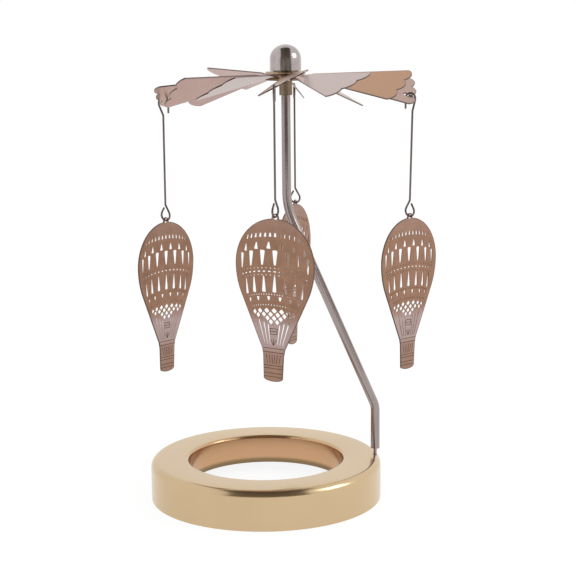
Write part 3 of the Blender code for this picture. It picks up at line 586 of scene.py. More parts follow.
def blade_shell(blade, settings):
    """One closed blade, upper and lower grids and the rim between them, and which points lie on its edge."""
    start = HUB_RADIUS - BLADE_ROOT_OVERLAP
    full = HUB_RADIUS + TWIST_LENGTH
    side = np.linspace(-1, 1, SCALLOP_COUNT * SCALLOP_STEPS + 1)
    side = np.concatenate([[-1, EDGE_SHARE - 1], side[1:-1], [1 - EDGE_SHARE, 1]])
    near = np.concatenate([[start], np.linspace(HUB_RADIUS, full, TWIST_ROWS)])
    share = np.linspace(0, 1, BLADE_ROWS)[1:, None]
    inner = np.repeat(near[:, None], len(side), 1)
    end = scalloped_reach(side, settings)[None]
    reach = np.concatenate([inner, full + share * (end - EDGE_BAND - full), end])
    sides = np.broadcast_to(side, reach.shape)
    # Points at the sides and the end, which carry the painted dark edge reflection
    edge = (np.abs(sides) > 1 - EDGE_SHARE / 2) | (np.arange(len(reach)) == len(reach) - 1)[:, None]
    pitch, droop = blade_bend(blade)
    offsets = (BLADE_SHEET / 2, -BLADE_SHEET / 2)
    shells = [blade_points(reach, sides, offset, pitch, droop, settings) for offset in offsets]
    rows, columns = reach.shape
    upper = grid_quads(rows, columns)
    lower = upper[:, ::-1] + rows * columns
    number = np.arange(rows * columns).reshape(rows, columns)
    rim = np.concatenate([number[0, :-1], number[:-1, -1], number[-1, :0:-1], number[:0:-1, 0]])
    ahead = np.roll(rim, -1)
    walls = np.stack([rim, ahead, ahead + rows * columns, rim + rows * columns], -1)
    points = turned(np.concatenate([shell.reshape(-1, 3) for shell in shells]), blade_azimuth(blade))
    return points, np.concatenate([upper, lower, walls]), np.tile(edge.ravel(), 2)


def hanger_place(index, settings):
    """Azimuth, reach and height of the sheet under a crook, at the notch beside the blade's low lobe."""
    blade = index * BLADE_COUNT // BALLOON_COUNT
    pitch, droop = blade_bend(blade)
    reach = settings.reach - HANG_INSET
    widening = blade_half_width(settings.reach, settings) / blade_half_width(reach, settings)
    notch = (2 / SCALLOP_COUNT - 1) * widening
    middle, above = [
        blade_points(np.array([reach]), np.array([notch]), offset, pitch, droop, settings)[0]
        for offset in (0.0, 1.0)
    ]
    azimuth = blade_azimuth(blade) + math.atan2(middle[1], middle[0])
    half_sheet = BLADE_SHEET / 2 / (above[2] - middle[2])
    return azimuth, math.hypot(middle[0], middle[1]), SHEET_HEIGHT + middle[2] + half_sheet


# The pendants' formulas

def balloon_tangent(half):
    """Where the straight ropes leave the balloon's lower ellipse, as an angle on that ellipse."""
    along = BASKET_TOP_HALF / half
    down = (BASKET_TOP - BALLOON_CROWN) / BALLOON_LOWER_SEMI
    return math.atan2(down, along) - math.acos(1 / math.hypot(along, down))


def balloon_half_width(depth, half):
    """Half the width at a depth: the crown's ellipse, the lower one, then a straight line to the basket."""
    angle = balloon_tangent(half)
    leave = BALLOON_CROWN + BALLOON_LOWER_SEMI * math.sin(angle)
    if depth <= BALLOON_CROWN:
        return half * math.sqrt(1 - (1 - depth / BALLOON_CROWN) ** 2)
    if depth <= leave:
        return half * math.sqrt(1 - ((depth - BALLOON_CROWN) / BALLOON_LOWER_SEMI) ** 2)
    along = (depth - leave) / (BASKET_TOP - leave)
    return half * math.cos(angle) * (1 - along) + BASKET_TOP_HALF * along


def balloon_outline(settings):
    """The outline about the eyelet's centre: the right side from top to foot, then mirrored back."""
    half = settings.half_width
    widest = -(EYELET_DROP + BALLOON_CROWN)
    foot = -(EYELET_DROP + settings.height)
    rim = -(EYELET_DROP + BASKET_TOP)
    right = np.concatenate([
        arc((0, 0), (EYELET_RADIUS, EYELET_RADIUS), QUARTER, 0.0, EYELET_STEPS)[1:],
        arc((0, widest), (half, BALLOON_CROWN), QUARTER - math.asin(NECK_HALF / half), 0.0, CROWN_STEPS),
        arc((0, widest), (half, BALLOON_LOWER_SEMI), 0.0, -balloon_tangent(half), LOWER_STEPS)[1:],
        [(BASKET_TOP_HALF, rim), (BASKET_RIM_HALF, rim - BASKET_RIM_DROP)],
        arc((0, foot + BASKET_SAG), (BASKET_FOOT_HALF, BASKET_SAG), 0.0, -QUARTER, BASKET_STEPS)[:-1],
    ])
    return np.concatenate([[(0.0, EYELET_RADIUS)], right, [(0.0, foot)], right[::-1] * (-1, 1)])


def globe_point(depth, angle, half):
    """A point of the flattened globe: a row at one depth sinks towards its ends."""
    sunk = depth + ARC_SAG_SHARE * balloon_half_width(depth, half) * (1 - math.cos(angle))
    return balloon_half_width(sunk, half) * math.sin(angle), -(EYELET_DROP + sunk)


def soften(loop):
    """Rounds a cut-out's corners by curves that start and end a share of the sides away from each."""
    loop = np.asarray(loop)
    before = loop + (np.roll(loop, 1, 0) - loop) * CORNER_SHARE
    after = loop + (np.roll(loop, -1, 0) - loop) * CORNER_SHARE
    share = np.linspace(0, 1, CORNER_STEPS + 1)[None, :, None]
    ends = (1 - share) ** 2 * before[:, None] + share**2 * after[:, None]
    return (ends + 2 * share * (1 - share) * loop[:, None]).reshape(-1, 2)


def tapered_loop(top, foot, top_width, foot_width):
    return soften([
        (top[0] - top_width / 2, top[1]),
        (foot[0] - foot_width / 2, foot[1]),
        (foot[0] + foot_width / 2, foot[1]),
        (top[0] + top_width / 2, top[1]),
    ])


def spread(count):
    """Places of a row's members in steps either side of its middle."""
    return np.arange(count) - (count - 1) / 2


def row_cutouts(half):
    """The five rows of tapered cut-outs, spread and narrowed towards the sides as on a globe."""
    for count, step, depths, widths in ROWS:
        for angle in spread(count) * step:
            ends = [globe_point(depth, angle, half) for depth in depths]
            middle = (ends[0][0] + ends[1][0]) / 2
            top, foot = [(middle + COLUMN_TAPER_SHARE * (across - middle), height) for across, height in ends]
            yield tapered_loop(top, foot, widths[0] * math.cos(angle), widths[1] * math.cos(angle))


def fine_holes(half):
    """Rows of fine round holes, and the row of short slots between two of them."""
    for count, step, depth in DOT_ROWS:
        for angle in spread(count) * step:
            radii = (DOT_RADIUS * math.cos(angle), DOT_RADIUS)
            yield arc(globe_point(depth, angle, half), radii, 0.0, math.tau, DOT_STEPS)[:-1]
    count, step, depth = DASH_ROW
    for angle in spread(count) * step:
        reach = DASH_HALF / balloon_half_width(depth, half)
        left = globe_point(depth, angle - reach, half)
        right = globe_point(depth, angle + reach, half)
        yield [(x, y + rise) for x, y, rise in (
            (*left, DASH_HEIGHT), (*left, -DASH_HEIGHT), (*right, -DASH_HEIGHT), (*right, DASH_HEIGHT))]


def net_foot(across):
    """Depth of the net's lower edge, which rises evenly to both sides."""
    return NET_FOOT - NET_SLOPE_SHARE * abs(across)


def net_holes(half):
    """Staggered rows of diamonds, as far down as the net's lower edge."""
    half_height = NET_HOLE_SHARE * 2 * NET_ROW_STEP
    for row in range(NET_ROW_COUNT):
        depth = NET_TOP + row * NET_ROW_STEP
        for angle in spread(NET_COLUMN_COUNT - row) * NET_STEP:
            across, height = globe_point(depth, angle, half)
            column = balloon_half_width(depth, half) * math.sin(NET_STEP)
            half_width = NET_HOLE_SHARE * column * math.cos(angle)
            if height > -(EYELET_DROP + net_foot(across)):
                yield soften([
                    (across - half_width, height),
                    (across, height - half_height),
                    (across + half_width, height),
                    (across, height + half_height),
                ])


def rope_slots(half):
    """The slots between the ropes, which run together towards the basket."""
    for share in [side * share for side in (-1, 1) for share in ROPE_SLOT_SHARES]:
        top = net_foot(share * balloon_half_width(NET_FOOT, half)) + ROPE_GAP
        ends = [
            (share * balloon_half_width(depth, half), -(EYELET_DROP + depth)) for depth in (top, ROPE_FOOT)]
        yield tapered_loop(*ends, ROPE_SLOT_TOP_WIDTH, ROPE_SLOT_FOOT_WIDTH)


def inside(points, loop):
    """Which points a closed loop holds, by the number of its sides that each point lies under."""
    start = np.asarray(loop)
    end = np.roll(start, -1, 0)
    x, y = points[:, :1], points[:, 1:]
    spans = (start[:, 0] > x) != (end[:, 0] > x)
    with np.errstate(divide="ignore", invalid="ignore"):
        height = start[:, 1] + (x - start[:, 0]) / (end[:, 0] - start[:, 0]) * (end[:, 1] - start[:, 1])
    return (spans & (height > y)).sum(1) % 2 == 1


def sheet_from_loops(loops, scored):
    """Fills an outline round its cut-outs: flat points and the triangles that lie in no cut-out.

    A scored loop is a line on the sheet that the triangles follow too.
    """
    drawn = [*loops, scored]
    starts = np.cumsum([0] + [len(loop) for loop in drawn])
    rims = np.concatenate([
        np.stack([start + np.arange(len(loop)), start + (np.arange(len(loop)) + 1) % len(loop)], -1)
        for start, loop in zip(starts, drawn)
    ])
    corners = [Vector(point) for point in np.concatenate(drawn).tolist()]
    filled = delaunay_2d_cdt(corners, rims.tolist(), [], 1, WELD)
    flat = np.array([tuple(point) for point in filled[0]])
    faces = np.array([face for face in filled[2] if len(face) == 3])
    middles = flat[faces].mean(1)
    keep = np.ones(len(faces), bool)
    for loop in loops[1:]:
        keep &= ~inside(middles, loop)
    return flat, faces[keep]


def rim_distance(points, loop):
    """How far each point lies from a closed loop: the least distance to any of its sides."""
    start = np.asarray(loop)
    side = np.roll(start, -1, 0) - start
    offset = points[:, None] - start[None]
    along = np.clip((offset * side).sum(-1) / (side**2).sum(-1), 0, 1)
    return np.linalg.norm(offset - along[..., None] * side, axis=-1).min(1)


def inset(loop, width):
    """A closed loop moved inwards by a width, each point along the normal of its neighbours' chord."""
    chord = np.roll(loop, -1, 0) - np.roll(loop, 1, 0)
    normal = np.stack([chord[:, 1], -chord[:, 0]], -1)
    return loop + normal / np.linalg.norm(chord, axis=1, keepdims=True) * width


def thick_sheet(flat, faces, thickness):
    """Front and back copies of a flat sheet, and a wall along each edge that only one triangle has."""
    half = thickness / 2
    front = np.stack([flat[:, 0], np.full(len(flat), -half), flat[:, 1]], -1)
    back = front + (0, thickness, 0)
    edges = np.concatenate([faces[:, [0, 1]], faces[:, [1, 2]], faces[:, [2, 0]]])
    _, first, count = np.unique(np.sort(edges, 1), axis=0, return_index=True, return_counts=True)
    rim = edges[first[count == 1]]
    walls = np.stack([rim[:, 1], rim[:, 0], rim[:, 0] + len(flat), rim[:, 1] + len(flat)], -1)
    under = faces[:, ::-1] + len(flat)
    return np.concatenate([front, back]), [*faces.tolist(), *under.tolist(), *walls.tolist()]


def etched_lines(number):
    """Thin flat bars on the sheet's front, each a closed box along one etched line."""
    lines = np.array(ETCH_LINES) * MM
    start = lines[:, [0, 1]] * (1, -1) - (0, EYELET_DROP)
    end = lines[:, [2, 3]] * (1, -1) - (0, EYELET_DROP)
    along = (end - start) / np.linalg.norm(end - start, axis=1, keepdims=True)
    aside = np.stack([-along[:, 1], along[:, 0]], -1) * ETCH_WIDTH / 2
    corners = np.stack([start - aside, end - aside, end + aside, start + aside], 1)
    face = -BALLOON_SHEET / 2
    layers = [np.stack([corners[..., 0], np.full(corners.shape[:2], depth), corners[..., 1]], -1)
              for depth in (face - ETCH_PROUD, face + ETCH_PROUD)]
    points = np.concatenate(layers, 1).reshape(-1, 3)
    box = np.array([[0, 1, 2, 3], [7, 6, 5, 4], [0, 4, 5, 1], [1, 5, 6, 2], [2, 6, 7, 3], [3, 7, 4, 0]])
    faces = box[None] + (number + 8 * np.arange(len(lines)))[:, None, None]
    return points, faces.reshape(-1, 4).tolist()


# What a user may change

class CarouselRing(bpy.types.PropertyGroup):
    radius: bpy.props.FloatProperty(
        name="Radius", description="The ring's outer radius", default=40 * MM, unit="LENGTH")
    width: bpy.props.FloatProperty(
        name="Width", description="From outer wall to hole", default=13.2 * MM, unit="LENGTH")
    height: bpy.props.FloatProperty(
        name="Height", description="The ring's height", default=13.6 * MM, unit="LENGTH")
    colour: bpy.props.FloatVectorProperty(
        name="Colour", description="Pale gold of the polished brass",
        subtype="COLOR", size=3, default=(0.64, 0.475, 0.285))
    # Painted shade: an olive darkening at the inner wall's foot
    foot_shade_colour: bpy.props.FloatVectorProperty(
        name="Foot colour", description="Olive at the inner wall's foot",
        subtype="COLOR", size=3, default=(0.25, 0.17, 0.09))
    # Painted warm reflection: the inner wall is tinted redder to stand in for what it mirrors
    inner_reflection_colour: bpy.props.FloatVectorProperty(
        name="Inner colour", description="Redder gold of the inner wall",
        subtype="COLOR", size=3, default=(0.585, 0.35, 0.19))
    # Painted shade: dark colour for the inside of the hollow ring
    hollow_shade_colour: bpy.props.FloatVectorProperty(
        name="Raw colour", description="Dull brass inside the ring",
        subtype="COLOR", size=3, default=(0.16, 0.11, 0.06))


class CarouselRod(bpy.types.PropertyGroup):
    radius: bpy.props.FloatProperty(
        name="Radius", description="Half the rod's thickness", default=1.55 * MM, unit="LENGTH")
    colour: bpy.props.FloatVectorProperty(
        name="Colour", description="Grey of the drawn steel",
        subtype="COLOR", size=3, default=(0.38, 0.325, 0.31))


class CarouselHub(bpy.types.PropertyGroup):
    dome_radius: bpy.props.FloatProperty(
        name="Cap radius", description="The cap's radius", default=5.25 * MM, unit="LENGTH")
    dome_colour: bpy.props.FloatVectorProperty(
        name="Cap colour", description="Grey of the chromed cap",
        subtype="COLOR", size=3, default=(0.5, 0.44, 0.43))
    collar_colour: bpy.props.FloatVectorProperty(
        name="Collar colour", description="Tan of washer and bush",
        subtype="COLOR", size=3, default=(0.54, 0.4, 0.27))


class CarouselRotor(bpy.types.PropertyGroup):
    reach: bpy.props.FloatProperty(
        name="Reach", description="From the axis to a blade's end", default=44.2 * MM, unit="LENGTH")
    colour: bpy.props.FloatVectorProperty(
        name="Colour", description="Pinkish brass of the sheet",
        subtype="COLOR", size=3, default=(0.5, 0.335, 0.3))
    # Painted reflection: the tan and grey tints that blades lean to stand in for what they mirror
    warm_reflection_colour: bpy.props.FloatVectorProperty(
        name="Warm colour", description="Tan that some blades lean to",
        subtype="COLOR", size=3, default=(0.52, 0.315, 0.2))
    grey_reflection_colour: bpy.props.FloatVectorProperty(
        name="Grey colour", description="Grey that others lean to",
        subtype="COLOR", size=3, default=(0.52, 0.41, 0.38))
    # Painted reflection: dark band along the blades' edges
    edge_reflection_colour: bpy.props.FloatVectorProperty(
        name="Edge colour", description="Dark cut edge",
        subtype="COLOR", size=3, default=(0.18, 0.13, 0.12))


class CarouselWires(bpy.types.PropertyGroup):
    radius: bpy.props.FloatProperty(
        name="Radius", description="Half the wire's thickness", default=0.35 * MM, unit="LENGTH")
    colour: bpy.props.FloatVectorProperty(
        name="Colour", description="Grey of the wire", subtype="COLOR", size=3, default=(0.19, 0.16, 0.15))


class CarouselPendants(bpy.types.PropertyGroup):
    half_width: bpy.props.FloatProperty(
        name="Half width", description="Half a pendant's width", default=14.1 * MM, unit="LENGTH")
    height: bpy.props.FloatProperty(
        name="Height", description="From crown to basket's foot", default=52.2 * MM, unit="LENGTH")
    pale_colour: bpy.props.FloatVectorProperty(
        name="Pale colour", description="Paler brass round the ropes",
        subtype="COLOR", size=3, default=(0.47, 0.35, 0.33))
    # Painted reflection: dark band round the pendants' outline
    edge_reflection_colour: bpy.props.FloatVectorProperty(
        name="Edge colour", description="Dark cut edge",
        subtype="COLOR", size=3, default=(0.12, 0.08, 0.065))
    colour: bpy.props.FloatVectorProperty(
        name="Colour", description="Reddish brown of the etched brass",
        subtype="COLOR", size=3, default=(0.37, 0.21, 0.14))


class CarouselStage(bpy.types.PropertyGroup):
    floor_size: bpy.props.FloatProperty(
        name="Floor", description="Width of the floor", default=8.0, unit="LENGTH")
    floor_colour: bpy.props.FloatVectorProperty(
        name="Floor colour", description="Pale floor", subtype="COLOR", size=3, default=(0.8, 0.8, 0.8))
    sky: bpy.props.FloatProperty(
        name="Sky", description="Strength of the even light all round", default=0.9)
    key_power: bpy.props.FloatProperty(
        name="Key light", description="Power of the soft main light", default=2.0, unit="POWER")


SETTINGS = {
    "carousel_ring": CarouselRing,
    "carousel_rod": CarouselRod,
    "carousel_hub": CarouselHub,
    "carousel_rotor": CarouselRotor,
    "carousel_wires": CarouselWires,
    "carousel_pendants": CarouselPendants,
    "carousel_stage": CarouselStage,
}


def rod_foot_x(scene):
    return scene.carousel_ring.radius - RING_SHEET - CLEARANCE - SPIGOT_RADIUS


def axis_x(scene):
    return rod_foot_x(scene) - ROD_REACH


class CAROUSEL_OT_ring(bpy.types.Operator):
    """Builds the hollow brass ring, open below"""
    bl_idname = "carousel.ring"
    bl_label = "Ring"

    def execute(self, context):
        settings = context.scene.carousel_ring
        radius, height = settings.radius, settings.height
        hole = radius - settings.width
        shoulder = (radius - RING_SHOULDER, height - RING_SHOULDER)
        lip = (hole + RING_LIP, height - RING_LIP)
        flange = height - RING_FLANGE_DEPTH
        inner = RING_SHOULDER - RING_SHEET
        inner_lip = RING_LIP - RING_SHEET
        outer_wall = np.concatenate([
            [(radius, 0.0)],
            arc(shoulder, (RING_SHOULDER, RING_SHOULDER), 0.0, QUARTER, RING_SHOULDER_STEPS),
        ])
        rounded_lip = arc(lip, (RING_LIP, RING_LIP), QUARTER, math.pi, RING_LIP_STEPS)
        foot = [(hole, flange + RING_FOOT_BAND * share) for share in (1, 0.5, 0)]
        inside_walls = np.concatenate([
            [(hole + RING_SHEET, flange)],
            arc(lip, (inner_lip, inner_lip), math.pi, QUARTER, RING_INSIDE_LIP_STEPS),
            arc(shoulder, (inner, inner), QUARTER, 0.0, RING_INSIDE_SHOULDER_STEPS),
            [(radius - RING_SHEET, 0.0)],
        ])
        profile = np.concatenate([outer_wall, rounded_lip, foot, inside_walls])
        number = np.arange(len(profile))
        foot_start = len(outer_wall) + len(rounded_lip)
        # The inner wall's redder tint is painted warm reflection, ramping in along the lip
        lip_reflection_ramp = np.clip(np.linspace(*INNER_REFLECTION_RAMP, len(rounded_lip)), 0, 1)
        marks = {
            "inner_reflection": [*np.zeros(len(outer_wall)), *lip_reflection_ramp, *np.ones(len(profile) - foot_start)],
            "shaded": number > foot_start,
        }
        brass = mottled_metal("ring_brass", settings.colour)
        # Painted warm reflection on the inner wall
        tint(brass, "inner_reflection", settings.inner_reflection_colour)
        # Painted shade darkening the inner wall's foot
        tint(brass, "shaded", settings.foot_shade_colour)
        # Painted shade inside the hollow ring
        hollow_shade = mottled_metal("ring_hollow_shade", settings.hollow_shade_colour)
        ring = turned_piece("ring_shell", profile, RING_TURNS, 0.0, True, [brass, hollow_shade], marks)
        hidden = number >= foot_start + len(foot)
        ring.data.polygons.foreach_set("material_index", np.tile(hidden, RING_TURNS).astype(np.int32))
        at = (rod_foot_x(context.scene), 0.0)
        width = SPIGOT_RADIUS + SPIGOT_PLAY
        drill = upright_cylinder("spigot_drill", at, width, height - RING_SHOULDER, height + OVERRUN)
        carve(ring, drill, "DIFFERENCE")
        finish_piece(ring, "base", "ring_brass", "base_ring")
        return {"FINISHED"}


class CAROUSEL_OT_rod(bpy.types.Operator):
    """Builds the bent rod with its spigot and needle, and finishes the socket under the ring"""
    bl_idname = "carousel.rod"
    bl_label = "Rod"

    def execute(self, context):
        scene = context.scene
        settings = scene.carousel_rod
        foot_x, top_x = rod_foot_x(scene), axis_x(scene)
        shoulder = scene.carousel_ring.height + SPIGOT_SHOW
        corners = [
            (foot_x, 0, shoulder + ROD_CHAMFER),
            (foot_x, 0, LOWER_BEND_HEIGHT),
            (top_x, 0, UPPER_BEND_HEIGHT),
            (top_x, 0, needle_top() - NEEDLE_LENGTH),
        ]
        bar = rounded_path(corners, [LOWER_BEND_RADIUS, UPPER_BEND_RADIUS])
        spigot_foot = scene.carousel_ring.height - SPIGOT_DEPTH
        step = SPIGOT_RADIUS * TIP_STEP_SHARE
        below = [(foot_x, 0, spigot_foot), (foot_x, 0, spigot_foot + step), (foot_x, 0, shoulder)]
        above = [(top_x, 0, needle_top() - step), (top_x, 0, needle_top())]
        path = np.concatenate([below, bar, above])
        radii = [0.0, SPIGOT_RADIUS, SPIGOT_RADIUS, *[settings.radius] * len(bar), NEEDLE_TIP_RADIUS, 0.0]
        steel = mottled_metal("rod_steel", settings.colour)
        points, faces = tube(path, radii, ROD_SIDES)
        rod = new_piece("rod_bar", points, faces, [steel])
        finish_piece(rod, "base", "rod_steel", "support_rod")
        finish_node("rod_socket", steel)
        return {"FINISHED"}


def needle_top():
    """The needle's point, just under the roof of the cap's dimple."""
    dome_top = SHEET_HEIGHT + HUB_SHEET / 2 + WASHER_THICKNESS + 2 * CLEARANCE + DOME_HEIGHT
    return dome_top - DOME_CROWN_WALL + DIMPLE_DEPTH - CLEARANCE


def finish_node(name, material):
    """Gives a CAD node that stays in view its finished material."""
    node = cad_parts[name]
    node.data.materials.clear()
    node.data.materials.append(material)


class CAROUSEL_OT_hub(bpy.types.Operator):
    """Builds the stack on the axis: bush, washer and domed cap"""
    bl_idname = "carousel.hub"
    bl_label = "Hub"

    def execute(self, context):
        scene = context.scene
        settings = scene.carousel_hub
        centre = axis_x(scene)
        shank = settings.dome_radius - DOME_WALL - CLEARANCE
        bore = shank + CLEARANCE
        washer_foot = SHEET_HEIGHT + HUB_SHEET / 2 + CLEARANCE
        washer_top = washer_foot + WASHER_THICKNESS
        edge = COLLAR_EDGE
        tan = mottled_metal("collar_brass", settings.collar_colour)
        # Painted shade: the bush is the collar's tan, darkened
        shaded_tan = mottled_metal("tube_shaded_brass", settings.collar_colour)
        profile = [
            (COLLAR_RADIUS, washer_foot + edge), (COLLAR_RADIUS, washer_top - edge),
            (COLLAR_RADIUS - edge, washer_top), (bore, washer_top),
            (bore, washer_foot), (COLLAR_RADIUS - edge, washer_foot)]
        washer = turned_piece("collar_washer", profile, HUB_TURNS, centre, True, [tan])
        finish_piece(washer, "rotor", "rotor_brass", "hub_washer")
        flange_top = SHEET_HEIGHT - HUB_SHEET / 2 - CLEARANCE
        flange_foot = flange_top - BUSH_FLANGE
        hole = scene.carousel_rod.radius + ROD_PLAY
        tube_radius = hole + BUSH_TUBE_WALL
        shank_top = flange_top + BUSH_SHANK_HEIGHT
        tube_foot = flange_foot - BUSH_TUBE_LENGTH
        profile = [
            (hole, tube_foot), (tube_radius, tube_foot), (tube_radius, flange_foot),
            (COLLAR_RADIUS - edge, flange_foot), (COLLAR_RADIUS, flange_foot + edge),
            (COLLAR_RADIUS, flange_top - edge), (COLLAR_RADIUS - edge, flange_top),
            (shank, flange_top), (shank, shank_top), (hole, shank_top)]
        bush = turned_piece("collar_bush", profile, HUB_TURNS, centre, True, [shaded_tan])
        finish_piece(bush, "rotor", "rotor_brass", "hub_bush")
        dome_foot = washer_top + CLEARANCE
        dome_top = dome_foot + DOME_HEIGHT
        mouth = dome_top - DOME_CROWN_WALL
        spring = dome_top - DOME_CROWN_HEIGHT
        inner = (settings.dome_radius - DOME_WALL, mouth - spring)
        outside = arc((0, spring), (settings.dome_radius, DOME_CROWN_HEIGHT), QUARTER, 0.0, DOME_STEPS)
        inside_wall = arc((0, spring), inner, 0.0, math.acos(DIMPLE_RADIUS / inner[0]), DOME_INSIDE_STEPS)
        profile = np.concatenate([
            outside,
            [(settings.dome_radius, dome_foot + edge), (settings.dome_radius - edge, dome_foot)],
            [(inner[0], dome_foot)],
            inside_wall,
            [(0.0, mouth + DIMPLE_DEPTH)],
        ])
        profile[0] = (0.0, dome_top)
        chrome = mottled_metal("cap_chrome", settings.dome_colour)
        cap = turned_piece("cap_dome", profile, HUB_TURNS, centre, False, [chrome])
        finish_piece(cap, "rotor", "dome_chrome", "dome_cap")
        return {"FINISHED"}


class CAROUSEL_OT_rotor(bpy.types.Operator):
    """Builds the bladed sheet, with the wire holes in four blades"""
    bl_idname = "carousel.rotor"
    bl_label = "Rotor"

    def execute(self, context):
        scene = context.scene
        settings = scene.carousel_rotor
        centre = np.array([axis_x(scene), 0.0, SHEET_HEIGHT])
        brass = mottled_metal("rotor_brass", settings.colour)
        # Painted reflection: warm and grey tints per blade
        tint(brass, "warm_reflection", settings.warm_reflection_colour)
        tint(brass, "grey_reflection", settings.grey_reflection_colour)
        # Painted dark reflection along the blades' edges
        tint(brass, "edge", settings.edge_reflection_colour)
        points, faces, edges, warm_reflection, grey_reflection = [], [], [], [], []
        for blade in range(BLADE_COUNT):
            shell, quads, edge = blade_shell(blade, settings)
            faces.append(quads + sum(len(part) for part in points))
            points.append(shell + centre)
            edges.append(edge)
            warm_reflection += [BLADE_WARM_REFLECTION_SHARES[blade]] * len(shell)
            grey_reflection += [BLADE_GREY_REFLECTION_SHARES[blade]] * len(shell)
        marks = {"warm_reflection": warm_reflection, "grey_reflection": grey_reflection, "edge": np.concatenate(edges)}
        rotor = new_piece("rotor_sheet", np.concatenate(points), np.concatenate(faces), [brass], marks)
        bore = scene.carousel_hub.dome_radius - DOME_WALL
        half = HUB_SHEET / 2
        profile = np.array([(HUB_RADIUS, -half), (HUB_RADIUS, half), (bore, half), (bore, -half)])
        profile += (0, SHEET_HEIGHT)
        carve(rotor, turned_piece("hub_disc", profile, HUB_TURNS, centre[0], True, [brass]), "UNION")
        # The hub disc gets a share of the painted warm reflection
        hub_marks = {"warm_reflection": HUB_WARM_REFLECTION_SHARE, "grey_reflection": 0.0, "edge": 0.0}
        mark_within(rotor.data, centre, HUB_RADIUS + WELD, hub_marks)
        for index in range(BALLOON_COUNT):
            azimuth, reach, height = hanger_place(index, settings)
            rise = CROOK_RADIUS - scene.carousel_wires.radius - CLEARANCE - BLADE_SHEET / 2
            reach -= math.sqrt(CROOK_RADIUS**2 - rise**2)
            at = (centre[0] + reach * math.cos(azimuth), reach * math.sin(azimuth))
            depth = (BLADE_TIP_WIDTH + OVERRUN) / 4
            drill = upright_cylinder("wire_drill", at, HOLE_RADIUS, height - depth, height + depth)
            carve(rotor, drill, "DIFFERENCE")
        finish_piece(rotor, "rotor", "rotor_brass", "rotor")
        return {"FINISHED"}


def hanger_path(index, loop_turn):
    """The wire, from its short tail up over the crook, down the long leg and round the open loop."""
    bend = CROOK_RADIUS
    drop = WIRE_DROP * WIRE_DROP_SHARES[index]
    leg_top = CROOK_RADIUS * LEG_OFFSET_SHARES[index]
    leg_foot = CROOK_RADIUS * LOOP_OFFSET_SHARES[index]
    loop_foot = bend - drop
    corners = [
        (-bend, 0, -CROOK_TAIL),
        (-bend, 0, bend),
        (bend, 0, bend),
        (bend, 0, -CROOK_RADIUS / 2),
        (leg_top, 0, -CROOK_RADIUS / 2 - CROOK_NECK),
        (leg_foot, 0, loop_foot + LOOP_HEIGHT),
    ]
    lean = math.asin(LOOP_RADIUS / (LOOP_HEIGHT - LOOP_RADIUS))
    middle = (0, loop_foot + LOOP_RADIUS)
    circle = arc(middle, (LOOP_RADIUS, LOOP_RADIUS), math.pi - lean, math.tau + lean, LOOP_STEPS)
    apex = np.array([0.0, loop_foot + LOOP_HEIGHT])
    end = apex + (circle[-1] - apex) / np.linalg.norm(circle[-1] - apex) * LOOP_GAP
    flat = np.concatenate([circle, [end]])
    upright = np.stack([flat[:, 0], np.zeros(len(flat)), flat[:, 1]], -1)
    loop = turned(upright, loop_turn) + (leg_foot, 0, 0)
    radii = [bend, bend, CROOK_NECK_RADIUS, CROOK_NECK_RADIUS, LOOP_APEX_RADIUS]
    leg = rounded_path([*corners, tuple(loop[0])], radii)
    return np.concatenate([leg, loop[1:]])


class CAROUSEL_OT_wires(bpy.types.Operator):
    """Builds the four hanger wires"""
    bl_idname = "carousel.wires"
    bl_label = "Wires"

    def execute(self, context):
        scene = context.scene
        settings = scene.carousel_wires
        steel = mottled_metal("wire_steel", settings.colour)
        for index in range(BALLOON_COUNT):
            azimuth, reach, sheet_top = hanger_place(index, scene.carousel_rotor)
            crown = sheet_top + CLEARANCE + settings.radius
            loop_turn = math.remainder(VIEW_AZIMUTH + BALLOON_TURNS[index] + QUARTER - azimuth, math.pi)
            path = turned(hanger_path(index, loop_turn) + (reach, 0, 0), azimuth)
            path = path + (axis_x(scene), 0, crown - CROOK_RADIUS)
            points, faces = tube(*round_ends(path, settings.radius), WIRE_SIDES)
            wire = new_piece(f"wire_{index + 1}", points, faces, [steel])
            finish_piece(wire, f"hanger_{index + 1}", "rod_steel", f"hanger_{index + 1}")
        return {"FINISHED"}


